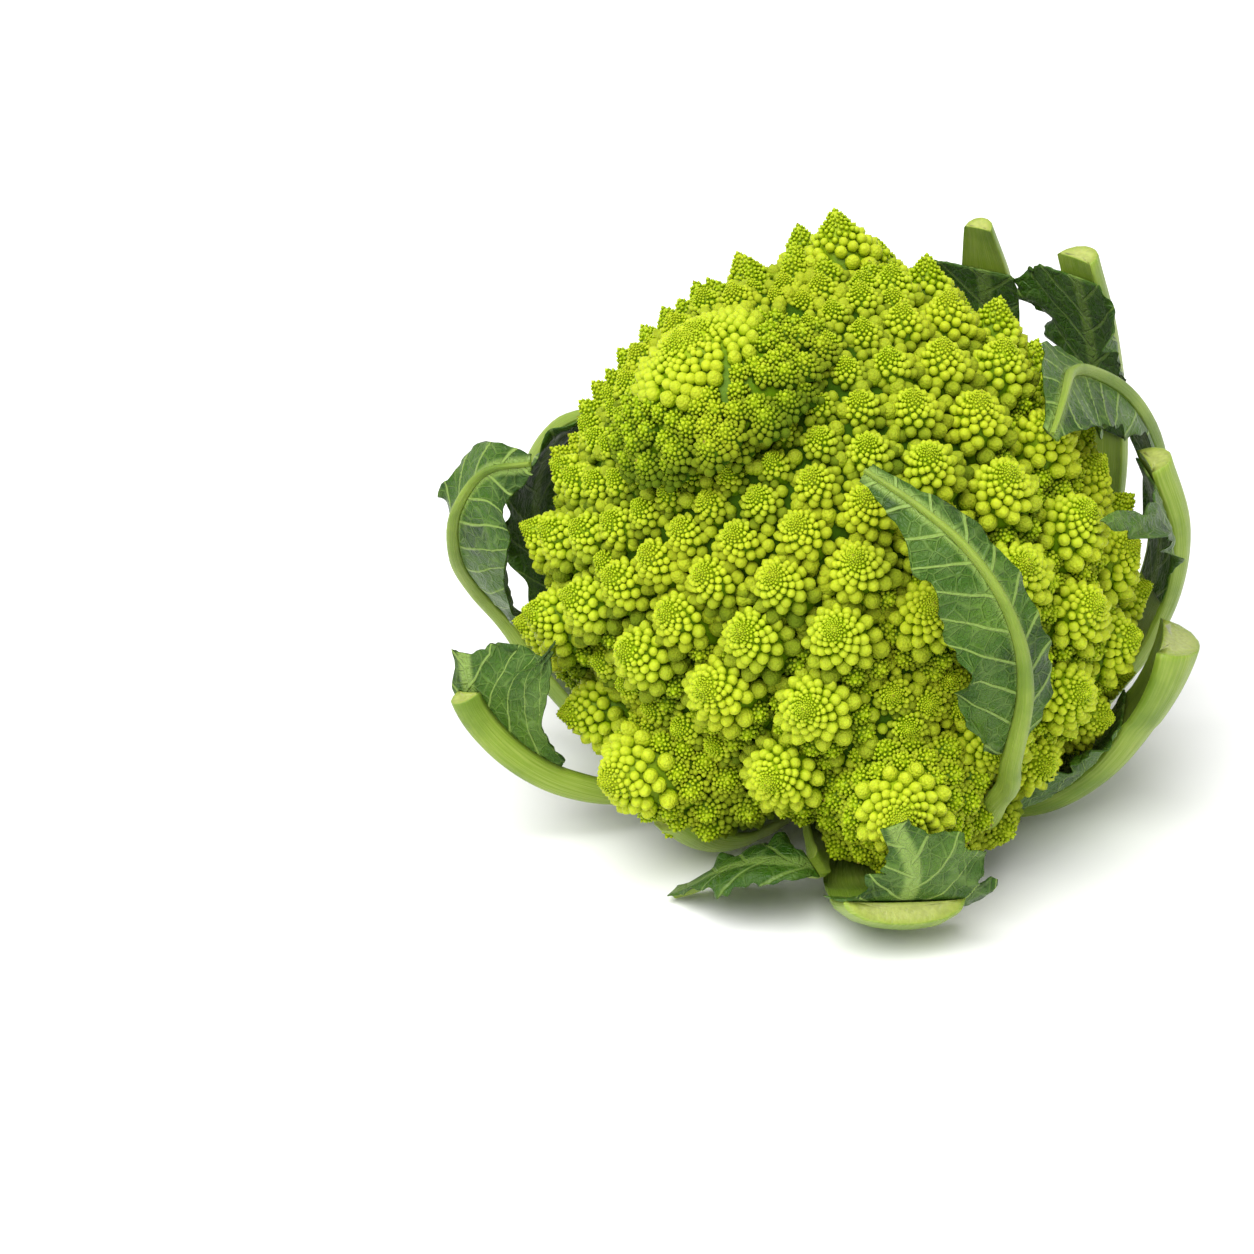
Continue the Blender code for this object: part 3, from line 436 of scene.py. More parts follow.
def gap_florets(cones):
    """Small florets on the middle where no other floret stands."""
    filled = list(cones)
    for number, direction in enumerate(spread_directions(GAP_FLORETS)):
        place = middle_surface(direction[None])[0]
        if place[2] < LOWEST_FLORET or any(inside_cone(place[None], *cone, -GAP_ROOM)[0] for cone in filled):
            continue
        axis = floret_axis(direction)
        tip = place + GAP_FLORET[1] * GAP_FLORET_STAND * axis
        filled.append((tip, floret_frame(axis, number * TURN_STEP), *GAP_FLORET))
    return filled[len(cones):]


def gap_buds(cones):
    """Small knobs on the middle, in the gaps between the florets."""
    directions = unit(spread_directions(GAP_BUDS) + rng.normal(0, GAP_SCATTER, (GAP_BUDS, 3)))
    places = middle_surface(directions)
    shown = places[:, 2] > GAP_BUD_LOWEST
    for cone in cones:
        shown &= ~inside_cone(places, *cone, 0.0)
    for part in CURD_PARTS:
        here = shown & (np.array([side_of(p) for p in places]) == part)
        if here.any():
            widths = rng.uniform(*GAP_BUD_WIDTHS, here.sum())
            frames = np.array([floret_frame(axis, rng.uniform(0, GAP_BUD_TURN)) for axis in directions[here]])
            depths = np.full(len(widths), GAP_BUD_TONE)
            add_buds(part, GAP_BUD, places[here], frames, widths, depths, np.zeros(len(widths)))


def curd_middle():
    """Points, triangles and tones of the solid middle between the florets' roots."""
    bpy.ops.mesh.primitive_ico_sphere_add(subdivisions=MIDDLE_FINENESS, radius=1.0)
    ball = bpy.context.object
    corners = np.array([v.co for v in ball.data.vertices])
    triangles = np.array([p.vertices for p in ball.data.polygons])
    bpy.data.objects.remove(ball)
    points = middle_surface(unit(corners))
    return points, triangles, np.tile(MIDDLE_TONE, (len(points), 1))


def smooth_piece(name, points, triangles, layer, values):
    """A smooth object of these triangles, with one attribute of four numbers at each point."""
    mesh = bpy.data.meshes.new(name)
    mesh.vertices.add(len(points))
    mesh.vertices.foreach_set("co", np.ascontiguousarray(points, np.float32).ravel())
    mesh.loops.add(3 * len(triangles))
    mesh.loops.foreach_set("vertex_index", np.ascontiguousarray(triangles, np.int32).ravel())
    mesh.polygons.add(len(triangles))
    mesh.polygons.foreach_set("loop_start", np.arange(0, 3 * len(triangles), 3, dtype=np.int32))
    mesh.polygons.foreach_set("use_smooth", np.ones(len(triangles), bool))
    mesh.update(calc_edges=True)
    mesh.attributes.new(layer, "FLOAT_COLOR", "POINT")
    mesh.attributes[layer].data.foreach_set("color", np.ascontiguousarray(values, np.float32).ravel())
    piece = bpy.data.objects.new(name, mesh)
    bpy.context.scene.collection.objects.link(piece)
    return piece


# The colour of the buds: lime green with painted light on their tops, painted shade at their feet and in the
# valleys between the florets, fine pimples and small brown spots

# Lit and shaded copies of the lime colour: painted light on the bud tops, painted shade at the feet and deep
# in the valleys
BUD_TOP_LIT = (0.46, 0.55, 0.024)
BUD_SIDE = (0.315, 0.45, 0.003)
BUD_FOOT_SHADE = (0.10, 0.195, 0.0006)
VALLEY_SHADE = (0.02, 0.060, 0.0004)
YELLOWED = (0.48, 0.54, 0.018)
SPOT = (0.16, 0.11, 0.02)
BUD_GLOW = (0.5, 1.0, 0.05)
BUD_GLOW_REACH = 1 * MM
BUD_ROUGHNESS = (0.0, 0.8, 0.42, 0.85)  # share of the painted valley shade from and to, and the roughness at each
BUD_BUMP = (0.8, 0.5 * MM)  # strength and height
# Where one colour gives way to the next: from, to, and the next one's share at each if it isn't 0 and 1
FOOT_SHADE_TO_SIDE = (0.0, 0.55)  # in heights of the bud
SIDE_TO_LIT_TOP = (0.35, 1.0)
TO_VALLEY_SHADE = (0.40, 1.05, 0.0, 0.85)  # in depths
TO_YELLOWED = (0.42, 0.72, 0.0, 0.5)
TO_SPOT = (0.4, 0.9)
PATCH_SCALE = 38.0
SKIN_GRAIN = {"scale": 900.0, "share": 0.35, "dark": 0.7, "light": 1.2}
GRAIN_DETAIL = 3.0
GRAIN_CONTRAST = (0.3, 0.7)
GRAIN_RISE = 0.4
PIMPLE_SCALE = 1300.0
PIMPLE_RISE = 0.9
PIMPLED_WIDTHS = (0.35, 0.6)  # in shares of the widest bud


def feed(tree, socket, value):
    """Links a socket to another one, or sets it to a number or a colour."""
    if isinstance(value, bpy.types.NodeSocket):
        tree.links.new(value, socket)
    elif isinstance(value, tuple) and socket.type == "RGBA":
        socket.default_value = (*value, 1.0)
    else:
        socket.default_value = value


def mix(tree, kind, factor, first, second, blend="MIX"):
    """A Mix node of colours or numbers. Each input is a socket or a value."""
    node = tree.nodes.new("ShaderNodeMix")
    node.data_type = kind
    end = {"RGBA": "Color", "FLOAT": "Float"}[kind]
    if kind == "RGBA":
        node.blend_type = blend
    sockets = {s.identifier: s for s in node.inputs}
    feed(tree, sockets["Factor_Float"], factor)
    feed(tree, sockets[f"A_{end}"], first)
    feed(tree, sockets[f"B_{end}"], second)
    return {s.identifier: s for s in node.outputs}[f"Result_{end}"]


def math_node(tree, operation, *values):
    node = tree.nodes.new("ShaderNodeMath")
    node.operation = operation
    for socket, value in zip(node.inputs, values):
        feed(tree, socket, value)
    return node.outputs[0]


def ranged(tree, value, low, high, to_low=0.0, to_high=1.0, smooth=True):
    node = tree.nodes.new("ShaderNodeMapRange")
    node.interpolation_type = "SMOOTHSTEP" if smooth else "LINEAR"
    ends = (("Value", value), ("From Min", low), ("From Max", high), ("To Min", to_low), ("To Max", to_high))
    for name, end in ends:
        feed(tree, node.inputs[name], end)
    return node.outputs[0]


def noise(tree, place, scale, detail=2.0, roughness=0.5):
    node = tree.nodes.new("ShaderNodeTexNoise")
    for name, value in (("Vector", place), ("Scale", scale), ("Detail", detail), ("Roughness", roughness)):
        feed(tree, node.inputs[name], value)
    return node.outputs["Fac"]


def grey(tree, value):
    node = tree.nodes.new("ShaderNodeCombineColor")
    for socket in node.inputs[:3]:
        feed(tree, socket, value)
    return node.outputs[0]


def bump(tree, height, strength, distance):
    node = tree.nodes.new("ShaderNodeBump")
    for name, value in (("Height", height), ("Strength", strength), ("Distance", distance)):
        feed(tree, node.inputs[name], value)
    return node.outputs["Normal"]


def attribute(tree, name):
    """The four numbers that a piece's points carry."""
    node = tree.nodes.new("ShaderNodeAttribute")
    node.attribute_name = name
    parts = tree.nodes.new("ShaderNodeSeparateColor")
    feed(tree, parts.inputs[0], node.outputs["Color"])
    return parts.outputs[0], parts.outputs[1], parts.outputs[2], node.outputs["Alpha"]


def new_finish(name, roughness, specular=0.5, glow=0.0, glow_colours=(1.0, 1.0, 1.0), glow_reach=1 * MM):
    """A material with its node tree, its shader's inputs and the object coordinates."""
    made = bpy.data.materials.new(name)
    made.use_nodes = True
    tree = made.node_tree
    inputs = tree.nodes["Principled BSDF"].inputs
    inputs["Roughness"].default_value = roughness
    inputs["Specular IOR Level"].default_value = specular
    inputs["Subsurface Weight"].default_value = glow
    inputs["Subsurface Radius"].default_value = glow_colours
    inputs["Subsurface Scale"].default_value = glow_reach
    return made, tree, inputs, tree.nodes.new("ShaderNodeTexCoord").outputs["Object"]


def new_effect(name, inputs, outputs):
    """An empty node group, with what it is given and what it puts out. Both are rows of a name and a kind."""
    group = bpy.data.node_groups.new(name, "ShaderNodeTree")
    for in_out, rows in (("INPUT", inputs), ("OUTPUT", outputs)):
        for label, kind in rows:
            group.interface.new_socket(name=label, in_out=in_out, socket_type=f"NodeSocket{kind}")
    return group, group.nodes.new("NodeGroupInput").outputs, group.nodes.new("NodeGroupOutput").inputs


def apply_effect(tree, effect, **values):
    """Places a node group in a tree with these values, and gives its outputs."""
    node = tree.nodes.new("ShaderNodeGroup")
    node.node_tree = effect
    for label, value in values.items():
        feed(tree, node.inputs[label], value)
    return node.outputs


def grain_effect():
    """A colour with a fine grain over it, from dark to light, and the grain itself."""
    inputs = (("place", "Vector"), ("colour", "Color"), ("scale", "Float"), ("share", "Float"),
              ("dark", "Float"), ("light", "Float"))
    effect, given, put = new_effect("fine_grain", inputs, (("colour", "Color"), ("grain", "Float")))
    grain = noise(effect, given["place"], given["scale"], GRAIN_DETAIL)
    shade = grey(effect, ranged(effect, grain, *GRAIN_CONTRAST, given["dark"], given["light"]))
    grained = mix(effect, "RGBA", given["share"], given["colour"], shade, "MULTIPLY")
    feed(effect, put["colour"], grained)
    feed(effect, put["grain"], grain)
    return effect


def bud_finish():
    made, tree, inputs, place = new_finish(
        "lime_buds", roughness=0.45, specular=0.1, glow=0.15, glow_colours=BUD_GLOW,
        glow_reach=BUD_GLOW_REACH)
    high, depth, width, speck = attribute(tree, "tone")
    # Painted shade darkens each bud towards its foot and painted light lightens its top, by the bud's height
    foot = ranged(tree, high, *FOOT_SHADE_TO_SIDE)
    colour = mix(tree, "RGBA", foot, BUD_FOOT_SHADE, BUD_SIDE)
    colour = mix(tree, "RGBA", ranged(tree, high, *SIDE_TO_LIT_TOP), colour, BUD_TOP_LIT)
    # Painted shade deep in the valleys between the florets, by each point's depth in its floret
    valley_shade = ranged(tree, depth, *TO_VALLEY_SHADE)
    colour = mix(tree, "RGBA", valley_shade, colour, VALLEY_SHADE)
    patches = ranged(tree, noise(tree, place, PATCH_SCALE), *TO_YELLOWED)
    colour = mix(tree, "RGBA", math_node(tree, "MULTIPLY", patches, foot), colour, YELLOWED)
    grained = apply_effect(tree, fine_grain, place=place, colour=colour, **SKIN_GRAIN)
    spot = math_node(tree, "MULTIPLY", speck, ranged(tree, high, *TO_SPOT))
    feed(tree, inputs["Base Color"], mix(tree, "RGBA", spot, grained["colour"], SPOT))
    feed(tree, inputs["Roughness"], ranged(tree, valley_shade, *BUD_ROUGHNESS))
    pimples = tree.nodes.new("ShaderNodeTexVoronoi")
    feed(tree, pimples.inputs["Scale"], PIMPLE_SCALE)
    feed(tree, pimples.inputs["Vector"], place)
    knobs = math_node(tree, "SUBTRACT", 1.0, pimples.outputs["Distance"])
    knobs = math_node(tree, "MULTIPLY", knobs, PIMPLE_RISE)
    fine = math_node(tree, "MULTIPLY", grained["grain"], GRAIN_RISE)
    rise = mix(tree, "FLOAT", ranged(tree, width, *PIMPLED_WIDTHS), fine, knobs)
    feed(tree, inputs["Normal"], bump(tree, rise, *BUD_BUMP))
    return made


main_florets = florets()
all_florets = main_florets + gap_florets(main_florets)
for number, cone in enumerate(all_florets):
    near = neighbours(cone, all_florets, FLORET_NEAR)
    handed = 1 - 2 * (number % 2)
    if number == len(main_florets) - 1:
        grow("tip", cone, TIP_BUD_GROWTH, 1.0, handed, near, TIP_LAST_BUD)
    else:
        part = side_of(cone[0])
        grow(part, cone, BUD_GROWTH, BACK_GRAIN if part.startswith("back") else 1.0, handed, near)

gap_buds(all_florets)
fine_grain = grain_effect()
lime_buds = bud_finish()
curd_pieces = [("curd_middle", *curd_middle())]
for part, shell in shells.items():
    whole = (np.concatenate(shell[key]) for key in ("points", "triangles", "tones"))
    curd_pieces.append((f"curd_{part}", *whole))
for name, points, triangles, tones in curd_pieces:
    piece = smooth_piece(name, points, triangles, "tone", tones)
    piece.data.materials.append(lime_buds)
    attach(piece, "root")
    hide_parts("curd")


# The leaves
# Fourteen wrapper leaves, cut short or torn when the head was trimmed. Each grows out of the stalk as a
# fleshy green stem that runs on as the midrib, with a thin waxy blade on both sides of it, all in one growth.

# In millimetres. The spine is the midrib's line, from the stalk to the leaf's end. A rib row holds a share of
# the spine's length, the rib's width and its thickness there. A left or right row holds a share and how far
# the blade reaches on that side. Curl is how sharply the two halves bend inwards, one over the radius. Roll
# turns the blade about the spine, in degrees, sweep slants it towards the tip, and a tooth is two stations.
LEAVES = {
    "leaf_front": {
        "spine": [(9.8, -15, 20), (14, -21.5, 20), (23, -34, 18), (33, -53, 22), (37, -68, 38),
                  (39.5, -79, 56), (41, -85, 74), (38.5, -89, 90), (32.5, -90, 104), (24, -88, 115),
                  (13, -83, 123), (1, -76, 129)],
        "rib": [(0, 12, 5), (0.25, 9, 5), (0.45, 5.5, 4), (0.7, 3, 2.4), (1, 1.3, 1.1)],
        "left": [(0.47, 5), (0.51, 12), (0.57, 17), (0.70, 18), (0.84, 13), (0.94, 7), (1, 1.5)],
        "right": [(0.47, 3), (0.51, 6), (0.56, 10), (0.68, 8), (0.84, 7), (0.94, 5), (1, 1.5)],
        "curl": (0.010, 0.012),
    },
    "leaf_right_low": {
        "spine": [(17.2, -5.2, 8), (38, -11, 8), (54, -14, 11), (67, -15, 21), (76, -15, 35), (81, -14, 56)],
        "rib": [(0, 13, 6), (0.3, 18, 6.5), (0.7, 24, 8.5), (1, 28, 11)],
        "left": [(0.34, 14), (0.42, 40), (0.55, 42), (0.68, 29), (0.76, 17)],
        "right": [(0.34, 3), (0.50, 10), (0.68, 11), (0.76, 11)],
        "curl": (0.036, 0.03),
    },
    "leaf_right_mid": {
        "spine": [(17.9, 0.8, 20), (26, 1.4, 20), (42, 4, 17), (60, 7, 21), (75, 10, 36), (85, 12, 56),
                  (87, 12, 76), (81, 11, 95)],
        "rib": [(0, 12, 5.5), (0.3, 15, 6), (0.7, 17, 7), (1, 16, 7)],
        "left": [(0.70, 3), (0.78, 14), (0.86, 34), (0.93, 50), (0.975, 57)],
        "right": [(0.70, 3), (0.80, 10), (0.93, 10), (0.975, 9)],
        "curl": (0.017, 0.02),
        "sweep": 0.4,
    },
    "leaf_right_high": {
        "spine": [(16.3, 7.3, 8), (40, 18, 8), (64, 28, 14), (81, 35, 31), (89, 38, 54), (88, 38, 76),
                  (85, 34, 91), (80, 27, 103), (74, 20, 112), (67, 12, 119), (60, 1, 125), (55.5, -13, 127),
                  (52, -27, 126), (48, -39, 122)],
        "rib": [(0, 13, 6), (0.35, 13, 6), (0.5, 8, 4.5), (0.7, 4, 2.8), (1, 1.3, 1.1)],
        "left": [(0.46, 3), (0.60, 6), (0.68, 12), (0.80, 19), (0.92, 15), (1, 1.5)],
        "right": [(0.46, 3), (0.56, 8), (0.68, 11), (0.80, 11), (0.92, 9), (1, 1.5)],
        "curl": (0.03, 0.022),
    },
    "leaf_right_top": {
        "spine": [(12.7, 12.7, 20), (19, 19, 20), (32, 31, 17.5), (53, 47, 21), (69, 57, 39), (75, 60, 65),
                  (74, 59, 92), (70, 55, 116), (64, 51, 138)],
        "rib": [(0, 12, 5.5), (0.3, 15, 6), (0.7, 16, 7), (1, 13, 6.5)],
        "left": [(0.70, 3), (0.78, 14), (0.88, 20), (0.94, 16), (0.97, 9)],
        "right": [(0.70, 3), (0.78, 13), (0.88, 21), (0.94, 24), (0.97, 18)],
        "curl": (0.11, 0.012),
    },
    "leaf_back_right": {
        "spine": [(7.3, 16.4, 8), (20, 42, 8), (32, 64, 16), (40, 79, 34), (45, 86, 62), (45, 84, 92),
                  (43, 76, 120), (39, 67, 141)],
        "rib": [(0, 13, 6), (0.3, 15, 6), (0.7, 17, 7), (0.9, 15, 6.5), (1, 8, 4.5)],
        "left": [(0.54, 3), (0.70, 9), (0.80, 9), (0.92, 9.5)],
        "right": [(0.54, 3), (0.64, 14), (0.80, 24), (0.88, 26), (0.92, 19)],
        "curl": (0.022, 0.022),
    },
    "leaf_back": {
        "spine": [(-0.4, 17.9, 20), (-0.8, 26, 20), (-2, 42, 17), (-3, 63, 21), (-4, 80, 40), (-4, 88, 66),
                  (-4, 87, 88), (-5, 80, 103), (-6, 71, 110)],
        "rib": [(0, 12, 5.5), (0.4, 15, 6), (0.7, 11, 5), (0.9, 5, 3), (1, 1.4, 1.2)],
        "left": [(0.44, 3), (0.54, 14), (0.70, 22), (0.84, 19), (0.94, 10), (1, 1.5)],
        "right": [(0.44, 3), (0.54, 14), (0.70, 21), (0.84, 20), (0.94, 11), (1, 1.5)],
        "curl": (0.014, 0.014),
    },
    "leaf_back_mid": {
        "spine": [(-8.8, 15.6, 8), (-22, 39, 8), (-36, 61, 15), (-46, 75, 32), (-50, 81, 56), (-49, 78, 78),
                  (-46, 72, 94)],
        "rib": [(0, 13, 6), (0.3, 16, 7), (0.7, 19, 7), (1, 18, 7)],
        "left": [(0.50, 3), (0.62, 14), (0.80, 20), (0.93, 12)],
        "right": [(0.50, 3), (0.62, 15), (0.80, 22), (0.93, 14)],
        "curl": (0.02, 0.02),
    },
    "leaf_back_left": {
        "spine": [(-15.1, 9.6, 20), (-22, 14, 20), (-37, 24, 17), (-58, 37, 21), (-75, 48, 38), (-83, 53, 58),
                  (-82, 51, 76), (-75, 45, 91), (-65, 38, 99)],
        "rib": [(0, 12, 5.5), (0.4, 14, 6), (0.7, 10, 5), (0.9, 5, 3), (1, 1.4, 1.2)],
        "left": [(0.44, 3), (0.54, 13), (0.70, 19), (0.84, 17), (0.94, 9), (1, 1.5)],
        "right": [(0.44, 3), (0.54, 13), (0.70, 18), (0.84, 16), (0.94, 9), (1, 1.5)],
        "curl": (0.014, 0.014),
    },
    "leaf_left_high": {
        "spine": [(-17.7, 2.4, 8), (-42, 10, 8), (-64, 22, 13), (-80, 33, 25), (-89, 36, 37), (-98, 29, 51),
                  (-103, 17, 66), (-102, 7, 84), (-94, 1, 97), (-83, -4, 101)],
        "rib": [(0, 13, 6), (0.3, 10, 5.5), (0.55, 5.5, 4), (0.75, 3.2, 2.6), (1, 1.3, 1.1)],
        "left": [(0.53, 3), (0.66, 6), (0.78, 11), (0.92, 11), (1, 2)],
        "right": [(0.53, 9), (0.60, 20), (0.67, 28), (0.74, 32), (0.84, 29), (0.93, 15), (1, 1.5)],
        "curl": (0.03, 0.03),
        "roll": [(0, 0), (0.25, 0), (0.58, -38), (1, -30)],
    },
    "leaf_left_low": {
        "spine": [(-17.1, -5.3, 20), (-25, -7.8, 20), (-40, -13, 16.5), (-62, -21, 16), (-78, -25, 22),
                  (-91, -27, 33), (-99, -28, 46), (-100.5, -28, 57)],
        "rib": [(0, 12, 5.5), (0.31, 11, 6), (0.62, 8, 6), (1, 8, 6.5)],
        "rib_end": 0.8975,
        "left": [(0.59, 3), (0.8975, 4), (1, 3)],
        "right": [(0.59, 8), (0.69, 21.6), (0.79, 34.2), (0.8975, 38), (1, 14)],
        "curl": (0.02, 0.012),
        "roll": [(0, 0), (0.13, 0), (0.53, -32), (1, -40)],
        "sweep": 0.42,
        "stations": 5,
    },
    "leaf_front_left": {
        "spine": [(-12.7, -13.1, 8), (-25, -27, 9), (-36, -40, 13), (-45, -47, 22)],
        "rib": [(0, 13, 6), (0.5, 16, 7), (1, 15, 7)],
    },
    "leaf_table": {
        "spine": [(-5.6, -17.3, 20), (-6.5, -25, 20), (-7, -42, 17), (-6.5, -58, 15), (-7, -68, 15.5),
                  (-13, -73, 18.5), (-23, -71, 18), (-33, -66, 12.5), (-41.5, -61, 5), (-45.5, -58.5, 2.2)],
        "rib": [(0, 11, 5), (0.4, 7, 4), (0.7, 3.5, 2.4), (1, 1.4, 1.2)],
        "left": [(0.56, 5), (0.64, 12), (0.76, 15), (0.88, 11), (1, 1.5)],
        "right": [(0.56, 4), (0.64, 9), (0.76, 11), (0.88, 7), (1, 1.5)],
        "curl": (-0.02, -0.05),
        "roll": [(0, 0), (0.12, 0), (0.58, 65), (1, 60)],
    },
    "leaf_front_low": {
        "spine": [(3.2, -17.7, 7.7), (5, -36, 7.6), (6.5, -52, 7.6), (7.5, -64, 8.6), (9, -75, 13),
                  (13, -87, 20.5), (14, -97, 31), (9, -100.5, 44)],
        "rib": [(0, 14, 6), (0.4, 25, 6.5), (0.6, 32, 6.5), (0.7, 32, 6), (1, 32, 6)],
        "rib_end": 0.715,
        "left": [(0.62, 17.5), (0.72, 16), (0.84, 9), (1, 1.5)],
        "right": [(0.62, 18), (0.72, 25), (0.84, 18), (0.92, 10), (1, 1.5)],
        "curl": (0.03, 0.03),
    },
}
BLADE_STATIONS = 9  # steps along a blade, with a notch at every other one
RIB_MARGIN = 0.6 * MM  # the flat strip of the blade under its rib is this much wider on each side
LEAST_BLADE = 1.6 * MM
TOOTH = 0.10  # depth of a tooth, as a share of the blade's width
DEEPEST_TOOTH = 1.5 * MM
DRAPE_CLEARANCE = 1.5 * MM  # leaves keep this far off the florets
UNDERSIDE = 35 * MM  # below this height the curd draws in
UNDERSIDE_FALL = 1.0  # by this much for each step further down
DRAPE_START = 0.75  # the spine is lifted off the florets from this share of the way to its blade
WAVY_WIDTH = 12 * MM  # narrower blades are waved and torn less
WAVE = 1.2 * MM  # rise and fall of the blade's edge, from tooth to notch
leaf_rng = np.random.default_rng(5)


def along(knots, shares, column=1):
    """One column of a table of knots, read at these shares of the length."""
    return np.interp(shares, [k[0] for k in knots], [k[column] for k in knots])


def draped(places):
    """Lifts points of a leaf clear of the florets below them."""
    for standout, spacing in STANDOUTS:
        tip = np.array(standout) * MM
        middle = tip - 0.5 * spacing * floret_axis(unit(tip - DOME_CENTRE))
        apart = np.linalg.norm(places - middle, axis=-1, keepdims=True)
        reach = 0.5 * spacing + DRAPE_CLEARANCE
        places = np.where(apart < reach, middle + (places - middle) * reach / apart, places)
    outwards = places - DOME_CENTRE
    away = np.linalg.norm(outwards, axis=-1, keepdims=True)
    clear = dome_reach(outwards / away)[..., None] + DRAPE_CLEARANCE
    clear = clear - UNDERSIDE_FALL * np.maximum(0.0, UNDERSIDE - places[..., 2:])
    return np.where(away > clear, places, DOME_CENTRE + outwards * (clear / away))


def spine_frames(leaf, shares):
    """Points on a smooth curve through the spine, with its direction, its inward side and its left side."""
    knots = np.array(leaf["spine"], float) * MM
    lengths = np.concatenate([[0], np.cumsum(np.linalg.norm(np.diff(knots, axis=0), axis=1))])
    slopes = np.gradient(knots, lengths, axis=0)
    at = shares * lengths[-1]
    i = np.clip(np.searchsorted(lengths, at, side="right") - 1, 0, len(knots) - 2)
    span = (lengths[i + 1] - lengths[i])[:, None]
    t = (at - lengths[i])[:, None] / span
    a, b, c, d = knots[i], knots[i + 1], slopes[i] * span, slopes[i + 1] * span
    places = ((2 * t**3 - 3 * t**2 + 1) * a + (t**3 - 2 * t**2 + t) * c
              + (3 * t**2 - 2 * t**3) * b + (t**3 - t**2) * d)
    headings = unit((6 * t**2 - 6 * t) * a + (3 * t**2 - 4 * t + 1) * c
                    + (6 * t - 6 * t**2) * b + (3 * t**2 - 2 * t) * d)
    if "left" in leaf:
        start = leaf["left"][0][0]
        lifted = np.interp(shares, [DRAPE_START * start, start], [0, 1])[:, None]
        places = (1 - lifted) * places + lifted * draped(places)
    inward = DOME_CENTRE - places
    inward = unit(inward - (inward * headings).sum(axis=1)[:, None] * headings)
    left = np.cross(headings, inward)
    turn = np.radians(along(leaf.get("roll", [(0, 0)]), shares))[:, None]
    turned_inward = np.cos(turn) * inward - np.sin(turn) * left
    turned_left = np.cos(turn) * left + np.sin(turn) * inward
    return places, headings, turned_inward, turned_left


def leaf_length(leaf):
    return np.linalg.norm(np.diff(np.array(leaf["spine"], float), axis=0), axis=1).sum() * MM


def wandering(count, rough, smooth):
    """Seeded values of about plus and minus one that wander from row to row."""
    raw = leaf_rng.normal(0, 1, count + 8 * smooth)
    kernel = np.hanning(2 * smooth + 3)
    slow = np.convolve(raw, kernel / np.sqrt((kernel**2).sum()), "same")[4 * smooth : 4 * smooth + count]
    return slow + rough * leaf_rng.normal(0, 1, count)


def closed_piece(name, points, triangles, layer, values):
    """A smooth piece whose triangles all face outwards."""
    corners = points[triangles]
    volume = np.einsum("ij,ij->", corners[:, 0], np.cross(corners[:, 1], corners[:, 2]))
    return smooth_piece(name, points, triangles if volume > 0 else triangles[:, ::-1], layer, values)


# The stems and midribs: thick, juicy and finely ridged lengthwise, cut off square so that the wet flesh shows

RIB_ROWS = 56
RIB_SIDES = 30
RIB_SUNK = 0.25 * MM  # the rib's inner face lies this far outside the middle of the blade
RIB_PROUD = 0.5 * MM  # and its outer face this much further out
RIB_HOLLOW = 0.10  # depth of the channel in its inner face, as a share of its thickness
RIB_ROUNDNESS = 0.9
RIDGE_COUNT = 13
RIDGE_HEIGHT = 0.012
RIDGE_TURN = 6
SWELL = 0.03  # how much a stem swells and narrows, as a share of its width
SWELL_ROWS = 6
DECIMETRE = 100  # millimetres. Points of stems and blades keep their lengths in decimetres, for the finishes
CUT_WIDTH = 6 * MM  # a stem that ends wider than this is cut, and a thinner one runs out to its tip
# The rounded lip of a cut: share of the end's width and rise of each ring, and the rise of its centre
CUT_LIP = ((0.965, 0.28 * MM), (0.90, 0.32 * MM), (0.45, 0.18 * MM))
CUT_CENTRE = 0.1 * MM
STEM_OUTSIDE = (0.215, 0.320, 0.028)
STEM_PALE = (0.33, 0.42, 0.075)
STEM_DEEP = (0.095, 0.180, 0.010)
STEM_FOOT = (0.38, 0.45, 0.15)
CUT_FLESH = (0.30, 0.365, 0.06)
CUT_CORE = (0.39, 0.44, 0.11)
STEM_GLOW = (0.6, 1.0, 0.1)
STEM_GLOW_REACH = 1.5 * MM
STEM_FIBRES = {"scale": 700.0, "share": 0.5, "dark": 0.75, "light": 1.15}
STREAKS_LONG = 2.2  # how close the pale streaks stand along the stem
STREAKS_ROUND = 7.0  # and round it
STREAK_NOISE = (2.6, 3.0, 0.6)  # scale, detail and roughness
BLOTCH_NOISE = (45.0, 4.0)
TO_PALE = (0.35, 0.75)
TO_DEEP = (0.42, 0.70, 0.0, 0.75)
TO_FOOT = (0.05, 0.35, 0.8, 0.0)  # in decimetres from the stalk
TO_CORE = (0.0, 0.9)
STEM_ROUGHNESS = (0.0, 1.0, 0.40, 0.22)
STEM_BUMP = (0.5, 0.6 * MM)


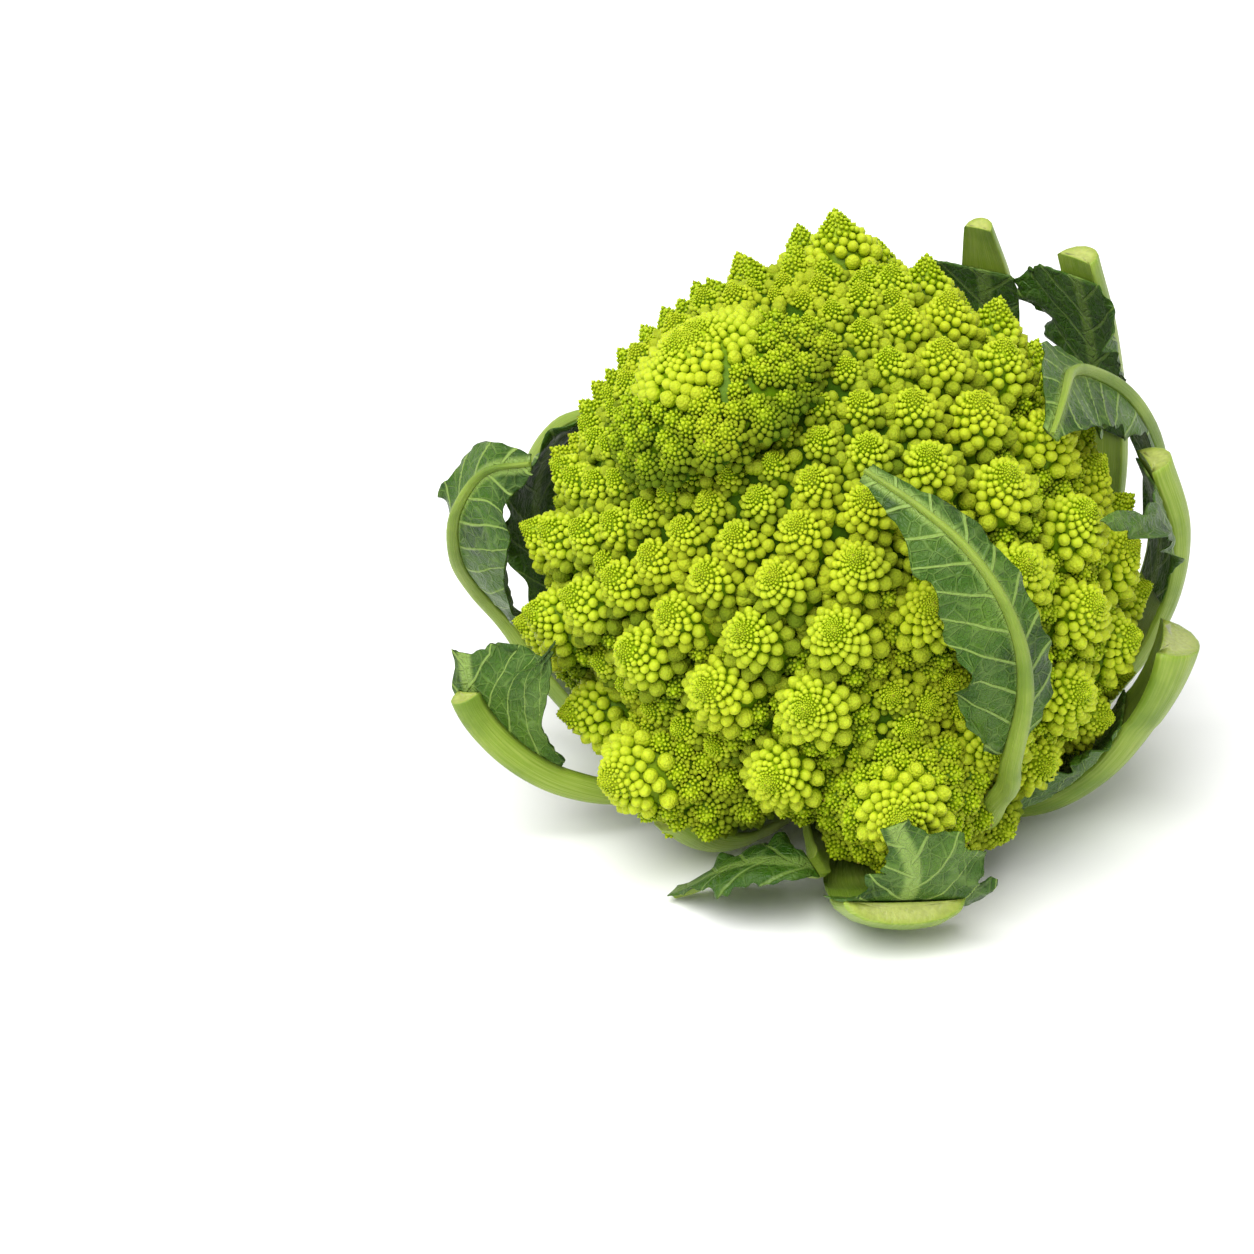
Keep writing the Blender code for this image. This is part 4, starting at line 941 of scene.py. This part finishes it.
def bar_piece(name, rings, along_mm, cut_end):
    """A closed bar through rings of points, with a rounded lip at its cut end."""
    sides = rings.shape[1]
    centre = rings[-1].mean(axis=0)
    step = unit(centre - rings[-2].mean(axis=0))
    lip = [centre + (rings[-1] - centre) * share + rise * step for share, rise in CUT_LIP]
    ends = [rings[0].mean(axis=0), centre + CUT_CENTRE * step]
    points = np.concatenate([rings.reshape(-1, 3), np.concatenate(lip), ends])
    count = len(rings) + len(lip)
    values = np.zeros((len(points), 4))
    values[: len(rings) * sides, 0] = np.repeat(along_mm / DECIMETRE, sides)
    values[len(rings) * sides :, 0] = along_mm[-1] / DECIMETRE
    values[: count * sides, 1] = np.tile(np.arange(sides) / sides, count)
    if cut_end:
        values[(len(rings) + 1) * sides : count * sides, 2] = 1.0
        values[(len(rings) + 2) * sides : count * sides, 3] = 1.0
        values[-1, 2:] = 1.0
    row, column = np.meshgrid(np.arange(count - 1), np.arange(sides), indexing="ij")
    a, b = row * sides + column, row * sides + (column + 1) % sides
    c, d = a + sides, b + sides
    walls = np.stack([a, b, d, a, d, c], axis=-1).reshape(-1, 3)
    around = np.arange(sides)
    after = (around + 1) % sides
    first, last = count * sides, count * sides + 1
    rim = (count - 1) * sides
    foot_fan = np.stack([np.full(sides, first), after, around], axis=1)
    end_fan = np.stack([np.full(sides, last), rim + around, rim + after], axis=1)
    return closed_piece(name, points, np.concatenate([walls, foot_fan, end_fan]), "bar", values)


def stem_piece(name, leaf):
    shares = np.linspace(0, leaf.get("rib_end", 1.0), RIB_ROWS)
    places, _, inward, left = spine_frames(leaf, shares)
    half = along(leaf["rib"], shares) * MM / 2
    thick = along(leaf["rib"], shares, 2) * MM + RIB_PROUD
    turns = 2 * math.pi * np.arange(RIB_SIDES) / RIB_SIDES
    outer = np.sin(turns) > 0
    ridges = np.cos(RIDGE_COUNT * turns + leaf_rng.uniform(0, RIDGE_TURN))
    ridged = 1 + RIDGE_HEIGHT * ridges * outer
    side = np.cos(turns) * ridged
    bulge = np.abs(np.sin(turns))
    depth = np.where(outer, bulge**RIB_ROUNDNESS * ridged, RIB_HOLLOW * bulge)
    steady = np.minimum(1, np.arange(RIB_ROWS)[::-1] / SWELL_ROWS)
    wide = half * (1 + SWELL * wandering(RIB_ROWS, 0, SWELL_ROWS) * steady)
    rings = (places[:, None, :] + wide[:, None, None] * side[None, :, None] * left[:, None, :]
             - (RIB_SUNK + thick[:, None, None] * depth[None, :, None]) * inward[:, None, :])
    return bar_piece(f"{name}_stem", rings, shares * leaf_length(leaf) / MM, 2 * half[-1] > CUT_WIDTH)


def cut_effect():
    """The skin of a stem and, where it is cut, the fibrous flesh with its paler heart."""
    inputs = (("place", "Vector"), ("cut", "Float"), ("core", "Float"), ("skin", "Color"),
              ("ridges", "Float"), ("flesh", "Color"), ("heart", "Color"), ("scale", "Float"),
              ("share", "Float"), ("dark", "Float"), ("light", "Float"))
    effect, given, put = new_effect("skin_and_cut", inputs, (("colour", "Color"), ("rise", "Float")))
    flesh = mix(effect, "RGBA", ranged(effect, given["core"], *TO_CORE), given["flesh"], given["heart"])
    fibres = {name: given[name] for name in ("place", "scale", "share", "dark", "light")}
    grained = apply_effect(effect, fine_grain, colour=flesh, **fibres)
    feed(effect, put["colour"], mix(effect, "RGBA", given["cut"], given["skin"], grained["colour"]))
    feed(effect, put["rise"], mix(effect, "FLOAT", given["cut"], given["ridges"], grained["grain"]))
    return effect


def stem_finish():
    made, tree, inputs, place = new_finish(
        "leaf_stem", roughness=0.40, specular=0.3, glow=0.2, glow_colours=STEM_GLOW,
        glow_reach=STEM_GLOW_REACH)
    length, around, cut, core = attribute(tree, "bar")
    lines = tree.nodes.new("ShaderNodeCombineXYZ")
    feed(tree, lines.inputs["X"], math_node(tree, "MULTIPLY", length, STREAKS_LONG))
    circle = math_node(tree, "MULTIPLY", around, 2 * math.pi)
    for axis, wave in (("Y", "SINE"), ("Z", "COSINE")):
        swing = math_node(tree, wave, circle)
        feed(tree, lines.inputs[axis], math_node(tree, "MULTIPLY", swing, STREAKS_ROUND))
    streaks = noise(tree, lines.outputs[0], *STREAK_NOISE)
    colour = mix(tree, "RGBA", ranged(tree, streaks, *TO_PALE), STEM_OUTSIDE, STEM_PALE)
    blotches = noise(tree, place, *BLOTCH_NOISE)
    colour = mix(tree, "RGBA", ranged(tree, blotches, *TO_DEEP), colour, STEM_DEEP)
    colour = mix(tree, "RGBA", ranged(tree, length, *TO_FOOT), colour, STEM_FOOT)
    ended = apply_effect(tree, skin_and_cut, place=place, cut=cut, core=core, skin=colour, ridges=streaks,
                         flesh=CUT_FLESH, heart=CUT_CORE, **STEM_FIBRES)
    feed(tree, inputs["Base Color"], ended["colour"])
    feed(tree, inputs["Roughness"], ranged(tree, cut, *STEM_ROUGHNESS))
    feed(tree, inputs["Normal"], bump(tree, ended["rise"], *STEM_BUMP))
    return made


# The blades: quilted between pale veins that stand out on the outer face, with a toothed and torn edge

SHEET_ROWS = 72
SHEET_COLUMNS = 13  # on each side of the rib
# The columns under the rib, in shares of the strip's half width
STRIP = np.array([0.98, 0.6, 0.2, -0.2, -0.6, -0.98])
MIDDLE_THICK = 0.7 * MM
EDGE_THICK = 0.3 * MM
VEIN_STEP = 10.5  # millimetres between two side veins
VEIN_SLANT = 0.84
VEIN_BEND = 0.010
QUILT_RISE = 0.75 * MM
QUILT_START = 4 * MM  # the quilting is full this far from the rib
QUILT_EDGE = 0.7  # and this much less at the edge
RUFFLE = 1.5 * MM
FINE_TOOTH = 0.8 * MM
TORN = 1.8 * MM
TORN_STATION = 0.8  # the torn ends reach this far into the blade, in stations
# How these wander along the blade: share of roughness, and rows that the smooth part runs over
RUFFLE_WANDER = (0, 5)
FINE_RUFFLE_WANDER = (0, 2)
TOOTH_WANDER = (0.12, 2)
TORN_WANDER = (0.3, 2)
REGROWN = 0.05  # past a broken rib the blade closes over it in this share of the spine
LAMINA = (0.036, 0.100, 0.006)
LAMINA_DARK = (0.012, 0.046, 0.002)
LAMINA_LIGHT = (0.078, 0.165, 0.014)
VEIN = (0.24, 0.36, 0.075)
BLOOM = (0.100, 0.178, 0.038)
BLADE_GLOW = (0.4, 1.0, 0.1)
BLADE_GLOW_REACH = 0.6 * MM
STRAY_SCALE = 60.0
STRAY = (0.3, 0.7, -0.9, 0.9)  # the last two are millimetres that a vein strays from its line
VEIN_SHARPNESS = 1.3
VEIN_HALF = (0.03, 0.35, 0.55, 0.16)  # decimetres off the midrib, and a vein's half width in millimetres
OFF_VEIN = (0.55, 1.35, 1.0, 0.0)
LAMINA_NOISE = (55.0, 3.0)
DARK_TO_LAMINA = (0.35, 0.5)
LAMINA_TO_LIGHT = (0.5, 0.7)
CREASE_NOISE = (170.0, 4.0, 0.6)
CREASE_RISE = 2.6
TO_BLOOM = (0.45, 0.7, 0.0, 0.6)
VEIN_SHARE = 0.75
OFF_MIDRIB = (0.012, 0.03, 0.85, 0.0)
# The nets of finer veins: scale, a line's edge from and to, and shares of a vein's colour and of its height
NETS = ((70.0, 0.02, 0.14, 0.06, 0.25), (24.0, 0.02, 0.10, 0.16, 0.55))
DARKER_INSIDE = (0.0, 1.0, 0.5, 0.0)
SUNK_INSIDE = (0.0, 1.0, -0.6, 1.0)
BLADE_ROUGHNESS = (0.0, 0.4, 0.38, 0.55)
BLADE_BUMP = (0.9, 0.8 * MM)


def sheet_half(leaf, side, key, curl, shares, frames, flat, beat):
    """Places of one half of the blade, from the rib to its edge, and their distances from the midrib."""
    places, headings, inward, left = frames
    width = along(leaf[key], shares) * MM
    width = width - np.minimum(TOOTH * width, DEEPEST_TOOTH) * (0.5 - 0.5 * np.cos(math.pi * beat))
    width = width + FINE_TOOTH * wandering(len(shares), *TOOTH_WANDER) * np.minimum(1, width / WAVY_WIDTH)
    width = np.maximum(width, flat + LEAST_BLADE)
    curve = leaf["curl"][curl] / MM
    part_way = np.linspace(0, 1, SHEET_COLUMNS + 1)[None, 1:]
    bent = (width - flat)[:, None] * part_way
    out = np.sin(curve * bent) / curve + flat[:, None]
    lift = (1 - np.cos(curve * bent)) / curve
    loose = part_way**2 * np.minimum(1.0, bent / WAVY_WIDTH)
    lift = lift + WAVE * np.cos(math.pi * beat)[:, None] * loose
    lift = lift + RUFFLE * wandering(len(shares), *RUFFLE_WANDER)[:, None] * part_way**1.5 * loose
    fine_ruffle = 0.5 * RUFFLE * wandering(len(shares), *FINE_RUFFLE_WANDER)
    lift = lift + fine_ruffle[:, None] * part_way**3 * loose
    ends = np.interp(beat, [0, TORN_STATION, beat[-1] - TORN_STATION, beat[-1]], [-1, 0, 0, 1])
    tear = ends[:, None] * TORN * wandering(SHEET_COLUMNS, *TORN_WANDER)[None]
    tear = tear * np.minimum(1, bent / WAVY_WIDTH)
    sweep = leaf.get("sweep", 0.0) * (out - flat[:, None])
    half = (places[:, None] + side * out[..., None] * left[:, None] + lift[..., None] * inward[:, None]
            + (sweep + tear)[..., None] * headings[:, None])
    return draped(half), side * (bent + flat[:, None]), np.broadcast_to(part_way, bent.shape)


def sheet_piece(name, leaf):
    shares = np.linspace(leaf["left"][0][0], leaf["left"][-1][0], SHEET_ROWS)
    beat = np.linspace(0, leaf.get("stations", BLADE_STATIONS) - 1, SHEET_ROWS)
    frames = spine_frames(leaf, shares)
    places, _, inward, left = frames
    past = np.clip((shares - leaf.get("rib_end", 1.0)) / REGROWN, 0, 1)
    flat = (1 - past) * along(leaf["rib"], shares) * MM / 2 + past * LEAST_BLADE + RIB_MARGIN
    one = sheet_half(leaf, 1, "left", 0, shares, frames, flat, beat)
    other = sheet_half(leaf, -1, "right", 1, shares, frames, flat, beat)
    strip_off = flat[:, None] * STRIP
    strip = places[:, None] + strip_off[..., None] * left[:, None]
    grid = np.concatenate([one[0][:, ::-1], strip, other[0]], axis=1)
    off = np.concatenate([one[1][:, ::-1], strip_off, other[1]], axis=1)
    edge = np.concatenate([one[2][:, ::-1], np.zeros_like(strip_off), other[2]], axis=1)
    normal = unit(np.cross(np.gradient(grid, axis=0), np.gradient(grid, axis=1)))
    normal = normal * np.sign((normal[:, SHEET_COLUMNS + 3] * inward).sum(axis=1)).mean().round()
    run = np.broadcast_to((shares * leaf_length(leaf))[:, None], off.shape) / MM
    from_rib = np.abs(off) / MM
    between = (run - VEIN_SLANT * from_rib - VEIN_BEND * from_rib**2) / VEIN_STEP + 0.5 * (off < 0)
    bulge = np.sqrt(np.abs(np.sin(math.pi * between)))
    quilt = QUILT_RISE * bulge * np.clip((np.abs(off) - flat[:, None]) / QUILT_START, 0, 1)
    grid = grid + (quilt * (1 - QUILT_EDGE * edge**4))[..., None] * normal
    half = 0.5 * (MIDDLE_THICK + (EDGE_THICK - MIDDLE_THICK) * edge**2)[..., None]
    points = np.concatenate([(grid + half * normal).reshape(-1, 3), (grid - half * normal).reshape(-1, 3)])
    lengths = run / DECIMETRE, off / MM / DECIMETRE
    values = np.stack([*lengths, edge, np.ones_like(edge)], axis=-1).reshape(-1, 4)
    values = np.concatenate([values * [1, 1, 1, 0], values])
    return closed_piece(f"{name}_sheet", points, sheet_triangles(*grid.shape[:2]), "sheet", values)


def sheet_triangles(rows, columns):
    """Triangles of a grid of points and of the same grid below it, closed round the edge."""
    under = rows * columns
    row, column = np.meshgrid(np.arange(rows - 1), np.arange(columns - 1), indexing="ij")
    a = (row * columns + column).ravel()
    b = a + columns
    top = np.concatenate([np.stack([a, b, b + 1], axis=1), np.stack([a, b + 1, a + 1], axis=1)])
    ring = np.concatenate([np.arange(columns), np.arange(1, rows) * columns + columns - 1,
                           (rows - 1) * columns + np.arange(columns - 2, -1, -1),
                           np.arange(rows - 2, 0, -1) * columns])
    onward = np.roll(ring, -1)
    rim = np.concatenate([np.stack([ring, onward, under + onward], axis=1),
                          np.stack([ring, under + onward, under + ring], axis=1)])
    return np.concatenate([top, top[:, ::-1] + under, rim])


def side_veins(tree, run, off, place):
    """Share of a side vein at each point of a blade."""
    from_rib = math_node(tree, "ABSOLUTE", off)
    far = math_node(tree, "MULTIPLY", from_rib, DECIMETRE)
    bend = math_node(tree, "MULTIPLY", math_node(tree, "MULTIPLY", far, far), VEIN_BEND)
    slant = math_node(tree, "ADD", math_node(tree, "MULTIPLY", far, VEIN_SLANT), bend)
    stray = ranged(tree, noise(tree, place, STRAY_SCALE), *STRAY, smooth=False)
    along_vein = math_node(tree, "SUBTRACT", math_node(tree, "MULTIPLY", run, DECIMETRE), slant)
    steps = math_node(tree, "DIVIDE", math_node(tree, "ADD", along_vein, stray), VEIN_STEP)
    other_side = math_node(tree, "MULTIPLY", math_node(tree, "LESS_THAN", off, 0.0), 0.5)
    steps = math_node(tree, "ADD", steps, other_side)
    near = math_node(tree, "MULTIPLY", math_node(tree, "PINGPONG", steps, 0.5), VEIN_STEP / VEIN_SHARPNESS)
    half = ranged(tree, from_rib, *VEIN_HALF, smooth=False)
    return ranged(tree, math_node(tree, "DIVIDE", near, half), *OFF_VEIN)


def sheet_finish():
    made, tree, inputs, place = new_finish(
        "leaf_blade", roughness=0.45, specular=0.22, glow=0.08, glow_colours=BLADE_GLOW,
        glow_reach=BLADE_GLOW_REACH)
    run, off, _, outside = attribute(tree, "sheet")
    vein = side_veins(tree, run, off, place)
    patches = noise(tree, place, *LAMINA_NOISE)
    colour = mix(tree, "RGBA", ranged(tree, patches, *DARK_TO_LAMINA), LAMINA_DARK, LAMINA)
    colour = mix(tree, "RGBA", ranged(tree, patches, *LAMINA_TO_LIGHT), colour, LAMINA_LIGHT)
    creases = noise(tree, place, *CREASE_NOISE)
    bloom = ranged(tree, creases, *TO_BLOOM)
    colour = mix(tree, "RGBA", bloom, colour, BLOOM)
    flat_place = tree.nodes.new("ShaderNodeCombineXYZ")
    feed(tree, flat_place.inputs["X"], run)
    feed(tree, flat_place.inputs["Y"], off)
    standing = vein
    for scale, start, end, tinted, raised in NETS:
        cells = tree.nodes.new("ShaderNodeTexVoronoi")
        cells.feature = "DISTANCE_TO_EDGE"
        feed(tree, cells.inputs["Scale"], scale)
        feed(tree, cells.inputs["Vector"], flat_place.outputs[0])
        net = ranged(tree, cells.outputs["Distance"], start, end, 1.0, 0.0)
        colour = mix(tree, "RGBA", math_node(tree, "MULTIPLY", net, tinted), colour, VEIN)
        standing = math_node(tree, "MAXIMUM", standing, math_node(tree, "MULTIPLY", net, raised))
    colour = mix(tree, "RGBA", math_node(tree, "MULTIPLY", vein, VEIN_SHARE), colour, VEIN)
    midrib = ranged(tree, math_node(tree, "ABSOLUTE", off), *OFF_MIDRIB)
    colour = mix(tree, "RGBA", midrib, colour, VEIN)
    inner = ranged(tree, outside, *DARKER_INSIDE, smooth=False)
    feed(tree, inputs["Base Color"], mix(tree, "RGBA", inner, colour, LAMINA_DARK))
    feed(tree, inputs["Roughness"], ranged(tree, bloom, *BLADE_ROUGHNESS))
    both_ways = ranged(tree, outside, *SUNK_INSIDE, smooth=False)
    rise = math_node(tree, "MULTIPLY", standing, both_ways)
    rise = math_node(tree, "ADD", rise, math_node(tree, "MULTIPLY", creases, CREASE_RISE))
    feed(tree, inputs["Normal"], bump(tree, rise, *BLADE_BUMP))
    return made


skin_and_cut = cut_effect()
pale_stem = stem_finish()
green_blade = sheet_finish()
for name, leaf in LEAVES.items():
    piece = stem_piece(name, leaf)
    piece.data.materials.append(pale_stem)
    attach(piece, "root")
    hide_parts(f"{name}_rib")
    if "left" in leaf:
        piece = sheet_piece(name, leaf)
        piece.data.materials.append(green_blade)
        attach(piece, "root")
        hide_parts(f"{name}_blade")


# The stalk
# The main stem, cut through flat just under the head, and the nine branches that spread from its top and
# carry the outer florets. It is pale wet flesh under a thin skin, and all one growth.

# Height and radius of its rings, from inside the curd down to the cut
STALK_PROFILE = np.array([
    (48, 10.5), (44, 12.5), (38, 15.5), (34, 17.2), (28, 17.5), (20, 17.5), (12, 17.5), (6, 17.5), (2, 17.5),
    (0.7, 17.35), (0.33, 17.1)]) * MM
STALK_SIDES = 64
LUMPS = 0.02  # depth of the dents round it, as a share of its radius
LUMP_TURNS = 2.5
LUMP_START = 0.4
LUMPS_END = 1 * MM  # the rings under this height are round
BRANCH_COUNT = 9
BRANCH_TURN = 0.3
BRANCH_START = (-4 * MM, 29 * MM)  # distance from the stalk's axis, and height
BRANCH_END = (48 * MM, 42 * MM)
BRANCH_SAG = 1.5 * MM
BRANCH_RADII = (6.5 * MM, 8 * MM)
BRANCH_SIDES = 24
BRANCH_ROWS = 16
STALK_SKIN = (0.50, 0.58, 0.24)
STALK_SKIN_PALE = (0.64, 0.70, 0.40)
STALK_FLESH = (0.58, 0.64, 0.30)
STALK_HEART = (0.72, 0.75, 0.48)
STALK_GLOW = (0.7, 1.0, 0.4)
STALK_GLOW_REACH = 2 * MM
STALK_FIBRES = {"scale": 600.0, "share": 0.4, "dark": 0.8, "light": 1.1}
STALK_BLOTCHES = (60.0, 3.0)
TO_STALK_PALE = (0.35, 0.7)
STALK_BUMP = (0.4, 0.6 * MM)


def stalk_rings():
    heights, radii = STALK_PROFILE.T
    turns = -2 * math.pi * np.arange(STALK_SIDES) / STALK_SIDES
    dents = np.abs(np.sin(LUMP_TURNS * turns + LUMP_START))[None]
    wide = radii[:, None] * (1 - LUMPS * dents * (heights > LUMPS_END)[:, None])
    level = np.broadcast_to(heights[:, None], wide.shape)
    return np.stack([wide * np.cos(turns), wide * np.sin(turns), level], axis=-1)


def branch_rings(number, share):
    turn = 2 * math.pi * (number + BRANCH_TURN) / BRANCH_COUNT
    outwards = np.array([math.cos(turn), math.sin(turn), 0.0])
    reach = (1 - share) * BRANCH_START[0] + share * BRANCH_END[0]
    height = (1 - share) * BRANCH_START[1] + share * BRANCH_END[1] - BRANCH_SAG * np.sin(math.pi * share)
    middle = reach * outwards + height * np.array([0.0, 0.0, 1.0])
    axis = unit(np.gradient(middle, axis=0))
    side = np.cross(axis, [0.0, 0.0, 1.0])
    upward = np.cross(side, axis)
    radius = (1 - share) * BRANCH_RADII[0] + share * BRANCH_RADII[1]
    angle = 2 * math.pi * np.arange(BRANCH_SIDES)[None, :, None] / BRANCH_SIDES
    round_it = np.cos(angle) * side[:, None] + np.sin(angle) * upward[:, None]
    return middle[:, None] + radius[:, None] * round_it


def stalk_pieces():
    heights = STALK_PROFILE[:, 0]
    yield bar_piece("stalk_stem", stalk_rings(), (heights[0] - heights) / MM, True)
    share = np.linspace(0, 1, BRANCH_ROWS)[:, None]
    for number in range(BRANCH_COUNT):
        rings = branch_rings(number, share)
        yield bar_piece(f"stalk_branch_{number}", rings, share[:, 0] * BRANCH_END[0] / MM, False)


def stalk_finish():
    made, tree, inputs, place = new_finish(
        "stalk_flesh", roughness=0.4, glow=0.25, glow_colours=STALK_GLOW, glow_reach=STALK_GLOW_REACH)
    _, _, cut, core = attribute(tree, "bar")
    blotches = noise(tree, place, *STALK_BLOTCHES)
    skin = mix(tree, "RGBA", ranged(tree, blotches, *TO_STALK_PALE), STALK_SKIN, STALK_SKIN_PALE)
    ended = apply_effect(tree, skin_and_cut, place=place, cut=cut, core=core, skin=skin, ridges=blotches,
                         flesh=STALK_FLESH, heart=STALK_HEART, **STALK_FIBRES)
    feed(tree, inputs["Base Color"], ended["colour"])
    feed(tree, inputs["Normal"], bump(tree, ended["rise"], *STALK_BUMP))
    return made


stalk_flesh = stalk_finish()
for piece in stalk_pieces():
    piece.data.materials.append(stalk_flesh)
    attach(piece, "root")
    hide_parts("stalk")


# The studio
# A plain pale table that runs on behind, a large soft light from the upper left with an even fill, and the
# camera where the photograph was taken from.

TABLE_SIZE = 12
TABLE_WHITE = (0.92, 0.92, 0.92)
TABLE_WHITER = (0.94, 0.94, 0.94)
TABLE_PATCH_SCALE = 3.0
KEY_STRENGTH = 3.9
KEY_SOFTNESS = math.radians(55)
KEY_TILT = (math.radians(28), math.radians(-16), 0)
FILL_STRENGTH = 0.62
CAMERA_TARGET = np.array([-57.6, 0.0, 51.6]) * MM
CAMERA_DISTANCE = 1.1
CAMERA_ELEVATION = math.radians(25)
CAMERA_LENS = 116.8
CAMERA_SENSOR = 36

bpy.ops.mesh.primitive_plane_add(size=TABLE_SIZE, location=(0, 0, 0))
table = bpy.context.object
table.name = "table"
white, tree, inputs, place = new_finish("white_table", roughness=0.6)
patches = noise(tree, place, TABLE_PATCH_SCALE)
feed(tree, inputs["Base Color"], mix(tree, "RGBA", patches, TABLE_WHITE, TABLE_WHITER))
table.data.materials.append(white)

key = bpy.data.objects.new("key", bpy.data.lights.new("key", "SUN"))
key.data.energy = KEY_STRENGTH
key.data.angle = KEY_SOFTNESS
key.rotation_euler = KEY_TILT
bpy.context.scene.collection.objects.link(key)
world = bpy.data.worlds.new("studio")
world.use_nodes = True
fill = world.node_tree.nodes["Background"].inputs
fill["Color"].default_value = (1.0, 1.0, 1.0, 1.0)
fill["Strength"].default_value = FILL_STRENGTH
bpy.context.scene.world = world
bpy.context.scene.view_settings.view_transform = "Standard"

camera = bpy.data.objects.new("camera", bpy.data.cameras.new("camera"))
camera.data.sensor_width = CAMERA_SENSOR
camera.data.lens = CAMERA_LENS
towards_camera = np.array([0, -math.cos(CAMERA_ELEVATION), math.sin(CAMERA_ELEVATION)])
camera.location = CAMERA_TARGET + CAMERA_DISTANCE * towards_camera
camera.rotation_euler = (math.radians(90) - CAMERA_ELEVATION, 0, 0)
bpy.context.scene.collection.objects.link(camera)
bpy.context.scene.camera = camera
